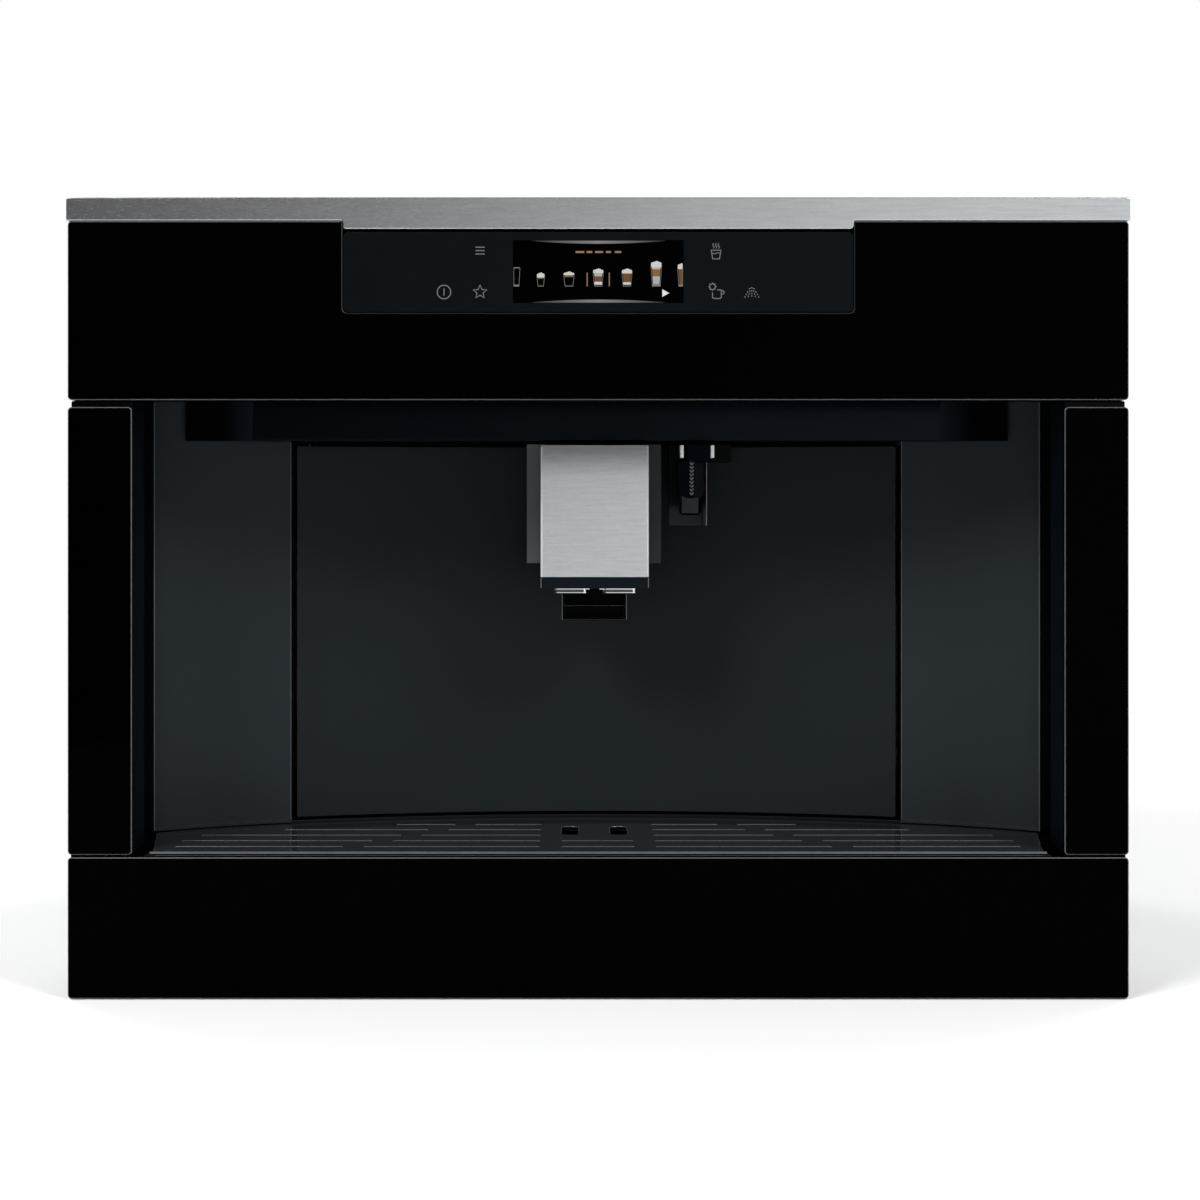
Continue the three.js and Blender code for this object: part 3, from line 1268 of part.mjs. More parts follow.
function hydraulics() {
  const foot = deckTop + gap;
  const r = boilerRadius;
  const n = boilerNeck;
  const shoulder = foot + boilerHeight;
  const boilerTop = shoulder + n;
  const profile = [[0, foot], [r - n / 2, foot], [r, foot + n / 2], [r, shoulder - 1.5 * n],
    [r - n, shoulder - n / 2], [n, shoulder], [n, boilerTop], [0, boilerTop], [0, foot]];
  piece('boiler', turned(profile, boilerX, boilerY), aluminium);

  const pumpZ = foot + pumpRadius;
  const pumpRear = pumpFront + pumpLength;
  const portY = pumpRear - pumpPortSetback;
  const portTop = pumpZ + pumpRadius + pumpPortRise;
  const barrel = rodAlongY(pumpRadius, pumpX, pumpZ, pumpFront, pumpRear);
  const outlet = rodAlongY(boilerNeck, pumpX, pumpZ, boilerY + boilerRadius + gap,
    pumpFront + past, 16);
  const cradle = box(pumpX - pumpRadius, pumpX + pumpRadius, pumpFront + pumpFlangeInset,
    pumpRear - pumpFlangeInset, foot, pumpZ);
  const port = disc(pumpPortRadius, pumpX, portY, pumpZ, portTop, 16);
  piece('pump', join(barrel, outlet, cradle, port), brassTone);

  // from the tank's valve straight down, then over to the port on the pump
  const inletTop = portTop + gap;
  const step = 2 * hoseRadius;
  const drop = (share) => between(rightDeckFoot, inletTop, share);
  piece('suction_hose', hose([
    [valveX, valveY, rightDeckTop - past],
    [valveX, valveY, drop(0.2)],
    [valveX, between(valveY, portY, 0.25), drop(0.47)],
    [between(valveX, pumpX, 0.45), between(valveY, portY, 0.75), drop(0.68)],
    [pumpX, portY, inletTop + 2 * step],
    [pumpX, portY, inletTop + step],
    [pumpX, portY, inletTop]], hoseRadius), hoseWhite);

  // from the boiler through the bay's wall, up beside the brew unit and down into it
  const brewInlet = brewTop + brewPlate + gap;
  const riseX = (brewBayHalf + brewHalf) / 2;
  const throughZ = (hoseHoleFoot + hoseHoleTop) / 2;
  const crossZ = leftDeckFoot - 1.5 * hoseRadius;
  piece('brew_hose', hose([
    [boilerX, boilerY, boilerTop + gap],
    [boilerX, boilerY, boilerTop + step],
    [boilerX - 2 * step, boilerY, throughZ - step],
    [between(boilerX, brewBayHalf, 0.5), brewY, throughZ],
    [brewBayHalf + 2 * step, brewY, throughZ],
    [riseX + step, brewY, throughZ + hoseRadius],
    [riseX, brewY, between(throughZ, crossZ, 0.4)],
    [riseX, brewY, between(throughZ, crossZ, 0.7)],
    [riseX - step, brewY, crossZ - hoseRadius],
    [brewHalf - 2 * step, brewY, crossZ],
    [4 * step, brewY, crossZ],
    [step, brewY, crossZ - hoseRadius],
    [0, brewY, brewInlet + step],
    [0, brewY, brewInlet + hoseRadius],
    [0, brewY, brewInlet]], hoseRadius), hoseWhite);
}

function electrics() {
  const boardLeft = powerBoardInset - insideHalf;
  const boardRight = -brewBayHalf - powerBoardToBay;
  const boardTop = powerBoardFoot + powerBoardHeight;
  const boardRear = chassisRear - 2 * chassisWall;
  const boardFront = boardRear - boardThickness;
  const board = box(boardLeft, boardRight, boardFront, boardRear, powerBoardFoot, boardTop);
  const posts = [];
  for (const x of [boardLeft + powerBoardPost, boardRight - powerBoardPost]) {
    for (const z of [powerBoardFoot + powerBoardPost, boardTop - powerBoardPost]) {
      posts.push(rodAlongY(bossRadius, x, z, boardRear - boardThickness / 2, casingRear, 12));
    }
  }
  // left edge, foot, width and height of each component, as shares of the board
  const components = [[0.12, 0.13, 0.23, 0.23], [0.42, 0.16, 0.18, 0.27],
    [0.73, 0.15, 0.15, 0.4], [0.13, 0.6, 0.28, 0.2], [0.65, 0.67, 0.2, 0.17]];
  const boardWidth = boardRight - boardLeft;
  const parts = components.map(([x, z, width, height]) => {
    const x0 = boardLeft + x * boardWidth;
    const z0 = powerBoardFoot + z * powerBoardHeight;
    return box(x0, x0 + width * boardWidth, boardFront - componentDepth, boardFront + past,
      z0, z0 + height * powerBoardHeight);
  });
  piece('power_board', join(board, ...posts, ...parts), boardGreen);

  const inletLeft = inletX - inletWidth / 2;
  const inletRight = inletX + inletWidth / 2;
  const inletFoot = inletZ - inletHeight / 2;
  const inletTop = inletZ + inletHeight / 2;
  const lipFront = rearPanelBack + gap;
  const lipRear = lipFront + 0.75 * inletLip;
  const body = box(inletLeft + gap, inletRight - gap, casingRear - inletDepth,
    lipFront + past, inletFoot + gap, inletTop - gap);
  const flange = box(inletLeft - inletEar, inletRight + inletLip, lipFront, lipRear,
    inletFoot - inletLip, inletTop + inletLip);
  const socket = box(inletX - socketHalf, inletX + socketHalf, casingRear - socketDepth,
    lipRear + past, inletZ - socketHalfHeight, inletZ + socketHalfHeight);
  const pins = [-1, 0, 1].map((i) => {
    const x = inletX + i * contactSpacing;
    return box(x - contactHalf, x + contactHalf, casingRear - socketDepth - past,
      rearPanelBack - 2 * past, inletZ - contactHalfHeight, inletZ + contactHalfHeight);
  });
  piece('mains_inlet', join(cut(join(body, flange), socket), ...pins), blackPlastic);

  // the rocker's profile in Y and Z, extruded along X
  const tall = switchHeight / 2;
  const waist = tall * 0.6;
  const rockerFront = casingRear - switchDepth;
  const rocker = outline([[rockerFront, inletZ - waist], [rearPanelBack + 1, inletZ - tall],
    [rearPanelBack + 1.2, inletZ], [rearPanelBack + rockerRaise, inletZ + tall],
    [rockerFront, inletZ + waist]]);
  const geometry = extrude(rocker, switchWidth - 1, 1);
  geometry.applyMatrix4(new THREE.Matrix4().makeBasis(new THREE.Vector3(0, 1, 0),
    new THREE.Vector3(0, 0, 1), new THREE.Vector3(1, 0, 0)));
  geometry.translate(switchX - (switchWidth - 1) / 2, 0, 0);
  piece('power_switch', toSolid(geometry), blackPlastic);
}

// --------------------------------------------------------------------------- assembly

nicheBase();
rails();
frontFrame();
topTrim();
frontGlasses();
controls();
handles();
cupSpace();
header();
serviceDoor();
spout();
hotWater();
dripDrawer();
casing();
chassis();
waterTank();
beans();
grinder();
brewUnit();
hydraulics();
electrics();

machine.position.y = -overallDepth / 2;

export default machine;
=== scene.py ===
import json
import math

import bmesh
import bpy
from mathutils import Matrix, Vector

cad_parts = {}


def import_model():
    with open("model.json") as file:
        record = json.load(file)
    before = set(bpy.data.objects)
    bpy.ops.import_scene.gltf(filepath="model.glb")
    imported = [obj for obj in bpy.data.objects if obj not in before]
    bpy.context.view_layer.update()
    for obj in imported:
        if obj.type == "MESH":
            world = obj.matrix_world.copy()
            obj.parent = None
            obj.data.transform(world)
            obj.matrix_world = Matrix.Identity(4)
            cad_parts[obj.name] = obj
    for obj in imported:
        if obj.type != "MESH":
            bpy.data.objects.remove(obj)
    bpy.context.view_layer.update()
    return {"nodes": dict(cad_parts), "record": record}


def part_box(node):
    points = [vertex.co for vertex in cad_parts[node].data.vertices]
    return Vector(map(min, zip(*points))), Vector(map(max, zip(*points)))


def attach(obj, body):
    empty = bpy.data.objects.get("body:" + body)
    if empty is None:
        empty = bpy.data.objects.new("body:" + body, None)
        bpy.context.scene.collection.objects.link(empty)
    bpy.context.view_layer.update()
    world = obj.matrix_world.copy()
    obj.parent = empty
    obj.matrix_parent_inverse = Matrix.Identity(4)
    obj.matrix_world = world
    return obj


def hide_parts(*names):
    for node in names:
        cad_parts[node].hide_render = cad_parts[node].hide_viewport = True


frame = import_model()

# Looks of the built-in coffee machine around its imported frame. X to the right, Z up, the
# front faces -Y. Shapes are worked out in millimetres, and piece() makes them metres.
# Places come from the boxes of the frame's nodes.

# ------------------------------------------------------------------------ named sizes

MM = 0.001                        # a millimetre in metres
SHARP = math.radians(35)          # edges above this angle stay crisp
WELD = 0.001                      # points closer than this are one
FLAT = math.radians(0.3)          # faces that differ by less are joined

GLASS_DEPTH = 4
GLASS_CORNER = 2.2
GLASS_CHAMFER = 0.55
PANEL_CORNER = 2.8
PANEL_ROOM = 0.5                  # gap between the control panel and the glass round it
PANEL_RECESS = 0.2                # panel's face behind the glass, room for the printing
PRINT_DEPTH = 0.1
SUNK = 0.02                       # how deep printing sits in what carries it
TRIM_SHEET = 1.2
SHEET_EDGE = 0.7
SCREEN_PITCH = 16.1               # between two drinks on the screen

# The wall face in plan: one arc between the seams and a tighter one on each side.
WALL_MIDDLE = 127                 # depths behind the front glasses
WALL_SEAM = 102
WALL_FRONT = 68
SEAM_HALF = 184
WALL_FRONT_HALF = 262.25

HOOD_BEND_HEIGHT = 19
HOOD_RADIUS = 78
GRIP_HALF = 19.3
GRIP_DEPTH = 70

GRILLE_CLEARANCE = 1.6
GRILLE_FRONT_HALF = 249.5
GRILLE_LIP_HALF = 251.5
SLOT_HALF = 1.5
SLOT_INNER_END = 33.4
SLOT_BRIDGE_HALF = 6.25
MIDDLE_SLOT_HALF = 20.4
SLOT_ROWS = [                     # depth, outer end, middle of the bridge
    (97, 121, 79.4),
    (77, 186, 94.5),
    (57, 232, 109.4),
    (37, 240, 124.3),
    (17, 240, 139),
]
DRIP_HOLE_HALF = (5, 15.5)
DRIP_HOLE_DEPTH = 75

FLOOR_RADIUS = 1.5                # metres, as the camera's and the lamps' places
CAMERA_AT = (-0.0138, -1.3355, 0.2794)
CAMERA_LENS = 61.875
CAMERA_SHIFT = (0.022, -0.0833)


def span(node):
    """The node's box in millimetres, as x0, x1, y0, y1, z0, z1."""
    lo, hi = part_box(node)
    return [side / MM for pair in zip(lo, hi) for side in pair]


def round_span(node):
    """Middle, radius, foot and top of an upright round node."""
    x0, x1, y0, y1, z0, z1 = span(node)
    return (x0 + x1) / 2, (y0 + y1) / 2, (x1 - x0) / 2, z0, z1


FRONT = span("lower_glass_panel")[2]          # plane of the front glasses

# ----------------------------------------------------------------------- outline tools


def rect(a0, a1, b0, b1):
    return [(a0, b0), (a1, b0), (a1, b1), (a0, b1)]


def fillet(points, radius, steps=4):
    """A closed outline with its corners rounded by one radius or one for each corner."""
    radii = radius if isinstance(radius, (list, tuple)) else [radius] * len(points)
    loop = []
    for i, corner in enumerate(points):
        here = Vector(corner)
        back = Vector(points[i - 1]) - here
        ahead = Vector(points[(i + 1) % len(points)]) - here
        half = back.angle(ahead) / 2
        if radii[i] <= 0 or half > math.pi / 2 - 0.01:
            loop.append(tuple(here))
            continue
        reach = min(radii[i] / math.tan(half), back.length * 0.49, ahead.length * 0.49)
        r = reach * math.tan(half)
        middle = here + (back.normalized() + ahead.normalized()).normalized() * (
            r / math.sin(half))
        first = here + back.normalized() * reach - middle
        last = here + ahead.normalized() * reach - middle
        start = math.atan2(first.y, first.x)
        turn = (math.atan2(last.y, last.x) - start + math.pi) % (2 * math.pi) - math.pi
        for k in range(steps + 1):
            a = start + turn * k / steps
            loop.append((middle.x + r * math.cos(a), middle.y + r * math.sin(a)))
    return loop


def circle(a, b, radius, steps=32):
    return [(a + radius * math.cos(2 * math.pi * k / steps),
             b + radius * math.sin(2 * math.pi * k / steps)) for k in range(steps)]


def turning(loop):
    """Twice the outline's area, positive where it runs counter-clockwise."""
    return sum(p[0] * q[1] - q[0] * p[1] for p, q in zip(loop, loop[1:] + loop[:1]))


def inset(loop, by):
    """The outline moved to its left by that much, so a counter-clockwise one shrinks."""
    if not by:
        return loop
    moved = []
    for i, point in enumerate(loop):
        here = Vector(point)
        before = (here - Vector(loop[i - 1])).normalized()
        after = (Vector(loop[(i + 1) % len(loop)]) - here).normalized()
        n0 = Vector((-before.y, before.x))
        n1 = Vector((-after.y, after.x))
        moved.append(tuple(here + (n0 + n1) * (by / max(1 + n0.dot(n1), 0.2))))
    return moved


def rounded(c0, c1, r0, r1=None, steps=3):
    """Levels from c0 to c1 for plate(), with the two edges rounded by r0 and r1."""
    r1 = r0 if r1 is None else r1
    levels = []
    for k in range(steps + 1 if r0 else 1):
        a = math.pi / 2 * k / steps if r0 else 0
        levels.append((c0 + r0 * (1 - math.cos(a)), r0 * (1 - math.sin(a))))
    for k in range(steps + 1 if r1 else 1):
        a = math.pi / 2 * (1 - k / steps) if r1 else 0
        levels.append((c1 - r1 * (1 - math.cos(a)), r1 * (1 - math.sin(a))))
    return levels


def chamfered(c0, c1, r0, r1=None):
    return rounded(c0, c1, r0, r1, steps=1)


def straight(c0, c1):
    return [(c0, 0), (c1, 0)]


def wall_curve(offset, steps):
    """Points of the wall's face in plan, moved back by offset, from left to right."""
    sagitta = WALL_MIDDLE - WALL_SEAM
    radius = (SEAM_HALF ** 2 + sagitta ** 2) / (2 * sagitta)
    seam = math.asin(SEAM_HALF / radius)
    run, rise = WALL_FRONT_HALF - SEAM_HALF, WALL_SEAM - WALL_FRONT
    chord = math.atan2(rise, run)
    side = math.hypot(run, rise) / (2 * math.sin(chord - seam))
    end = 2 * chord - seam
    points = []
    for k in range(steps + 1):
        angle = -end + 2 * end * k / steps
        sign, a = math.copysign(1, angle), abs(angle)
        if a <= seam:
            x, y = 0, WALL_MIDDLE - radius
            r = radius + offset
        else:
            x = SEAM_HALF - side * math.sin(seam)
            y = WALL_SEAM - side * math.cos(seam)
            r = side + offset
        points.append((sign * (x + r * math.sin(a)), FRONT + y + r * math.cos(a)))
    return points


# -------------------------------------------------------------------------- mesh tools

PLANES = {
    "front": lambda a, b, c: (a, c, b),       # an outline in X and Z, drawn back along Y
    "plan": lambda a, b, c: (a, b, c),        # in X and Y, raised along Z
    "side": lambda a, b, c: (c, a, b),        # in Y and Z, drawn across X
}


def plate(bm, outer, levels, holes=(), plane="front", face=0, edge=None, side=None):
    """A solid from an outline with holes, through levels of (height, inset)."""
    edge = face if edge is None else edge
    side = face if side is None else side
    put = PLANES[plane]
    loops = [outer if turning(outer) > 0 else outer[::-1]]
    loops += [hole[::-1] if turning(hole) > 0 else hole for hole in holes]
    stacks = []
    for loop in loops:
        stacks.append([[bm.verts.new(put(a, b, c)) for a, b in inset(loop, by)]
                       for c, by in levels])
    for stack in stacks:
        for k, (low, high) in enumerate(zip(stack, stack[1:])):
            sloped = levels[k][1] != levels[k + 1][1]
            for i in range(len(low)):
                quad = bm.faces.new((low[i - 1], low[i], high[i], high[i - 1]))
                quad.material_index = edge if sloped else side
    for end in (0, -1):
        if len(stacks) == 1:
            cap = bm.faces.new(stacks[0][end])
            cap.material_index = face
            continue
        rims = [bm.edges.get((stack[end][i - 1], stack[end][i]))
                for stack in stacks for i in range(len(stack[end]))]
        filled = bmesh.ops.triangle_fill(bm, use_beauty=True, edges=rims)
        for cap in filled["geom"]:
            if isinstance(cap, bmesh.types.BMFace):
                cap.material_index = face


def block(bm, x0, x1, y0, y1, z0, z1, edge=0.3, corner=None, face=0):
    """A box whose upright corners are filleted and whose other edges are rounded."""
    corner = edge if corner is None else corner
    plate(bm, fillet(rect(x0, x1, y0, y1), corner, 2), rounded(z0, z1, edge, steps=2),
          plane="plan", face=face)


def wall_strip(bm, near, far, kept, levels, steps=80, face=0):
    """A strip along the wall's curve, between two depths, where kept(x) holds."""
    inner = [p for p in wall_curve(near, steps) if kept(p[0])]
    outer = [p for p in wall_curve(far, steps) if kept(p[0])]
    plate(bm, inner + outer[::-1], levels, plane="plan", face=face)


def lathe(bm, profile, place, steps=40, face=0):
    """A closed profile of (radius, height) turned round; place maps (a, b, height)."""
    rings = []
    for radius, height in profile:
        rings.append([bm.verts.new(place(a, b, height))
                      for a, b in circle(0, 0, radius, steps)])
    for low, high in zip(rings, rings[1:] + rings[:1]):
        for k in range(steps):
            quad = bm.faces.new((low[k - 1], low[k], high[k], high[k - 1]))
            quad.material_index = face


def upright(x, y, z=0.0):
    return lambda a, b, c: (x + a, y + b, z + c)


def facing(x, z, y=0.0):
    """For lathe(): the axis runs back along Y."""
    return lambda a, b, c: (x + a, y + c, z + b)


def sideways(side, x, y, z):
    """For lathe(): the axis runs out along X, to the left or to the right."""
    return lambda a, b, c: (side * (x + c), y + a, z + b)


def stroke(bm, points, width, y0, y1, closed=False, face=0):
    """A flat line of that width in X and Z, between two depths."""
    path = [Vector(p) for p in points]
    count = len(path)
    left, right = [], []
    for i, here in enumerate(path):
        before = path[i - 1] if closed or i else None
        after = path[(i + 1) % count] if closed or i < count - 1 else None
        d0 = (here - before).normalized() if before is not None else None
        d1 = (after - here).normalized() if after is not None else None
        d0, d1 = d0 or d1, d1 or d0
        n0, n1 = Vector((-d0.y, d0.x)), Vector((-d1.y, d1.x))
        off = (n0 + n1) * (width / 2 / max(1 + n0.dot(n1), 0.5))
        left.append(here + off)
        right.append(here - off)
    l0, r0, l1, r1 = [[bm.verts.new((p.x, y, p.y)) for p in side]
                      for y in (y0, y1) for side in (left, right)]
    for i in range(count if closed else count - 1):
        j = (i + 1) % count
        for quad in ((l0[i], l0[j], r0[j], r0[i]), (l1[i], l1[j], r1[j], r1[i]),
                     (l0[i], l0[j], l1[j], l1[i]), (r0[i], r0[j], r1[j], r1[i])):
            bm.faces.new(quad).material_index = face
    if not closed:
        for i in (0, -1):
            bm.faces.new((l0[i], r0[i], r1[i], l1[i])).material_index = face


def paint(bm, index, chosen):
    """Gives that material to the faces that chosen(middle, face) picks."""
    for each in bm.faces:
        if chosen(each.calc_center_median(), each):
            each.material_index = index


def piece(name, bm, looks, body, nodes=()):
    """Makes the object, lets it ride on its body and stand for its nodes."""
    bmesh.ops.scale(bm, vec=(MM, MM, MM), verts=bm.verts)
    bmesh.ops.recalc_face_normals(bm, faces=bm.faces)
    mesh = bpy.data.meshes.new(name)
    bm.to_mesh(mesh)
    bm.free()
    for look in looks:
        mesh.materials.append(look)
    mesh.polygons.foreach_set("use_smooth", [True] * len(mesh.polygons))
    mesh.set_sharp_from_angle(angle=SHARP)
    obj = bpy.data.objects.new(name, mesh)
    bpy.context.scene.collection.objects.link(obj)
    even = obj.modifiers.new("even_normals", "WEIGHTED_NORMAL")
    even.keep_sharp = True
    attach(obj, body)
    if nodes:
        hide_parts(*nodes)


def body_of(node):
    for body, nodes in frame["record"]["behaviour"]["bodies"].items():
        if node in nodes:
            return body
    raise KeyError(node)


def dressed(node, look, edge, extra=None, edge_face=-1):
    """The node's own shape with its edges rounded, and what extra(bm) does to it."""
    bm = bmesh.new()
    bm.from_mesh(frame["nodes"][node].data)
    bmesh.ops.remove_doubles(bm, verts=bm.verts, dist=WELD * MM)
    bmesh.ops.dissolve_limit(bm, angle_limit=FLAT, verts=bm.verts, edges=bm.edges)
    for each in bm.faces:
        each.material_index = 0
    hard = [e for e in bm.edges
            if len(e.link_faces) == 2 and e.calc_face_angle(0) > SHARP]
    bmesh.ops.bevel(bm, geom=hard, offset=edge * MM, segments=2, profile=0.5,
                    affect="EDGES", clamp_overlap=True, material=edge_face)
    bmesh.ops.scale(bm, vec=(1 / MM, 1 / MM, 1 / MM), verts=bm.verts)
    if extra:
        extra(bm)
    looks = look if isinstance(look, list) else [look]
    piece(node + "_shaped", bm, looks, body_of(node), [node])


# ---------------------------------------------------------------------- material tools


def new_look(name, colour, roughness, metallic=0.0, **sockets):
    look = bpy.data.materials.new(name)
    look.use_nodes = True
    shader = look.node_tree.nodes["Principled BSDF"]
    shader.inputs["Base Color"].default_value = (*colour, 1)
    shader.inputs["Roughness"].default_value = roughness
    shader.inputs["Metallic"].default_value = metallic
    for socket, value in sockets.items():
        shader.inputs[socket.replace("_", " ")].default_value = value
    return look, look.node_tree, shader


def maths(tree, operation, a, b=0.0):
    """The result of a Math node for two numbers or sockets."""
    node = tree.nodes.new("ShaderNodeMath")
    node.operation = operation
    for socket, value in zip(node.inputs, (a, b)):
        if isinstance(value, (int, float)):
            socket.default_value = value
        else:
            tree.links.new(value, socket)
    return node.outputs[0]


def along(tree, axis, kind="Object"):
    """The place along one axis, in the object's own metres, or a ray's share of it."""
    where = tree.nodes.new("ShaderNodeTexCoord")
    split = tree.nodes.new("ShaderNodeSeparateXYZ")
    tree.links.new(where.outputs[kind], split.inputs[0])
    return split.outputs[axis]


def noise(tree, scale, stretch=(1, 1, 1), detail=3.0):
    """Noise in the object's own metres; scale is in features per metre."""
    where = tree.nodes.new("ShaderNodeTexCoord")
    mapping = tree.nodes.new("ShaderNodeMapping")
    mapping.inputs["Scale"].default_value = stretch
    grain = tree.nodes.new("ShaderNodeTexNoise")
    grain.inputs["Scale"].default_value = scale
    grain.inputs["Detail"].default_value = detail
    tree.links.new(where.outputs["Object"], mapping.inputs["Vector"])
    tree.links.new(mapping.outputs["Vector"], grain.inputs["Vector"])
    return grain.outputs["Fac"]


def ranged(tree, value, low, high, start=0.3, end=0.7, smooth=False):
    """From low, where the value is at start, to high at end."""
    node = tree.nodes.new("ShaderNodeMapRange")
    if smooth:
        node.interpolation_type = "SMOOTHSTEP"
    for socket, number in (("From Min", start), ("From Max", end), ("To Min", low),
                           ("To Max", high)):
        node.inputs[socket].default_value = number
    tree.links.new(value, node.inputs["Value"])
    return node.outputs["Result"]


def toned(tree, factor, dark, light):
    node = tree.nodes.new("ShaderNodeMix")
    node.data_type = "RGBA"
    node.inputs[6].default_value = (*dark, 1)
    node.inputs[7].default_value = (*light, 1)
    tree.links.new(factor, node.inputs[0])
    return node.outputs[2]


def finish(name, dark, light, rough, metallic=0.0, cloud=18, grain=900, stretch=(1, 1, 1),
           bump=0.0, bump_depth=0.05, shine=0.5, **sockets):
    """A surface whose colour drifts slowly, with fine grain in its gloss and relief."""
    middle = [(a + b) / 2 for a, b in zip(dark, light)]
    look, tree, shader = new_look(name, middle, sum(rough) / 2, metallic,
                                  Specular_IOR_Level=shine, **sockets)
    drift = noise(tree, cloud, stretch, 2)
    fine = noise(tree, grain, stretch, 4)
    both = maths(tree, "ADD", maths(tree, "MULTIPLY", fine, 0.5),
                 maths(tree, "MULTIPLY", drift, 0.5))
    tree.links.new(toned(tree, ranged(tree, both, 0, 1), dark, light),
                   shader.inputs["Base Color"])
    tree.links.new(ranged(tree, fine, *rough), shader.inputs["Roughness"])
    if bump:
        node = tree.nodes.new("ShaderNodeBump")
        node.inputs["Strength"].default_value = bump
        node.inputs["Distance"].default_value = bump_depth * MM
        tree.links.new(fine, node.inputs["Height"])
        tree.links.new(node.outputs["Normal"], shader.inputs["Normal"])
    return look


def lit(name, colour):
    """Something that shines by itself, such as a symbol behind the glass."""
    look, tree, shader = new_look(name, (0, 0, 0), 0.5, Emission_Strength=1,
                                  Specular_IOR_Level=0.1)
    drift = ranged(tree, noise(tree, 700), 0, 1)
    shade = [0.9 * c for c in colour]
    tree.links.new(toned(tree, drift, shade, colour), shader.inputs["Emission Color"])
    return look


def glow_across(name, middle, half, peak):
    """A glow that is brightest in the middle of X and fades to both ends."""
    look, tree, shader = new_look(name, (0, 0, 0), 0.5, Emission_Strength=1)
    away = maths(tree, "ABSOLUTE", maths(tree, "SUBTRACT", along(tree, "X"), middle * MM))
    fade = ranged(tree, away, 1, 0, 0, half * MM)
    tree.links.new(toned(tree, fade, (0, 0, 0), (peak, peak, peak * 1.03)),
                   shader.inputs["Emission Color"])
    return look


def faded(name, axis, start, end, first, last, rough, shine):
    """Plastic whose colour goes from first to last between two distances along an axis."""
    middle = [(a + b) / 2 for a, b in zip(first, last)]
    look, tree, shader = new_look(name, middle, sum(rough) / 2, Specular_IOR_Level=shine)
    away = maths(tree, "ABSOLUTE", along(tree, axis))
    fade = ranged(tree, away, 0, 1, start * MM, end * MM)
    tree.links.new(toned(tree, fade, first, last), shader.inputs["Base Color"])
    tree.links.new(ranged(tree, noise(tree, 1500), *rough), shader.inputs["Roughness"])
    return look


# --------------------------------------------------------------------------- materials

BRUSH = (0.08, 1, 1)              # brushed along X

black_glass = finish("black_glass", (0.00008, 0.00008, 0.0001), (0.0002, 0.0002, 0.00025),
                     (0.03, 0.06), cloud=6, grain=60, shine=0.008)
ground_edge = finish("ground_edge", (0.05, 0.053, 0.057), (0.085, 0.09, 0.095),
                     (0.3, 0.45), grain=2500, bump=0.1)
# A darker copy of ground_edge: painted shade.
notch_painted_shade = finish("notch_painted_shade", (0.007, 0.008, 0.009), (0.01, 0.011, 0.012),
                    (0.3, 0.45), grain=2500)
panel_gloss = finish("panel_gloss", (0.0026, 0.0037, 0.0047), (0.0033, 0.0045, 0.0055),
                     (0.1, 0.16), cloud=10, grain=80, shine=0.03)
screen_glass = finish("screen_glass", (0.0001, 0.0001, 0.0001), (0.0003, 0.0003, 0.0003),
                      (0.04, 0.07), cloud=10, grain=80, shine=0.008)
brushed_steel = finish("brushed_steel", (0.5, 0.52, 0.53), (0.6, 0.62, 0.63), (0.2, 0.28),
                       metallic=1.0, cloud=600, grain=3500, stretch=BRUSH, bump=0.15,
                       bump_depth=0.01)
hood_steel = finish("hood_steel", (0.5, 0.52, 0.53), (0.62, 0.64, 0.65), (0.34, 0.44),
                    metallic=1.0, cloud=700, grain=3500, stretch=BRUSH, bump=0.3,
                    bump_depth=0.01)
chrome = finish("chrome", (0.76, 0.77, 0.78), (0.84, 0.85, 0.86), (0.05, 0.1),
                metallic=1.0, cloud=30, grain=300)
charcoal = finish("charcoal", (0.0135, 0.0172, 0.0195), (0.016, 0.0199, 0.0223),
                  (0.38, 0.5), cloud=9, grain=2200, bump=0.08, bump_depth=0.04, shine=0.03)
# The door's charcoal made lighter for the side walls: painted light.
side_charcoal_painted_light = finish("side_charcoal_painted_light", (0.021, 0.0262, 0.0298), (0.0245, 0.03, 0.0336),
                       (0.38, 0.5), cloud=9, grain=2200, bump=0.08, bump_depth=0.04,
                       shine=0.03)
black_plastic = finish("black_plastic", (0.0035, 0.0045, 0.006), (0.005, 0.006, 0.008),
                       (0.4, 0.52), cloud=12, grain=1800, bump=0.08, bump_depth=0.03,
                       shine=0.12)
# Real black for the frame, carrier and scale; also painted shade in gaps, slots, holes and
# recesses.
black_and_painted_shade = finish("black_and_painted_shade", (0.0003, 0.0006, 0.0012), (0.0006, 0.001, 0.0018),
                    (0.5, 0.65), cloud=12, grain=1800, bump=0.05, shine=0.02)
header_black = finish("header_black", (0.0008, 0.0014, 0.0024), (0.0013, 0.002, 0.0032),
                      (0.14, 0.2), cloud=12, grain=1800, shine=0.09,
                      Specular_Tint=(0.62, 0.82, 1, 1))
bar_black = finish("bar_black", (0.001, 0.0022, 0.0042), (0.0018, 0.0032, 0.0058),
                   (0.3, 0.4), cloud=12, grain=1800, shine=0.05)
# Painted highlight for the edges of the side walls and the spout's body, and for thin light
# lines.
painted_edge_highlight = finish("painted_edge_highlight", (0.07, 0.076, 0.082), (0.11, 0.117, 0.124), (0.3, 0.45),
                   cloud=60, grain=1500)
dark_band = finish("dark_band", (0.004, 0.006, 0.0078), (0.0055, 0.0075, 0.0093),
                   (0.3, 0.4), cloud=20, grain=1500, shine=0.02)
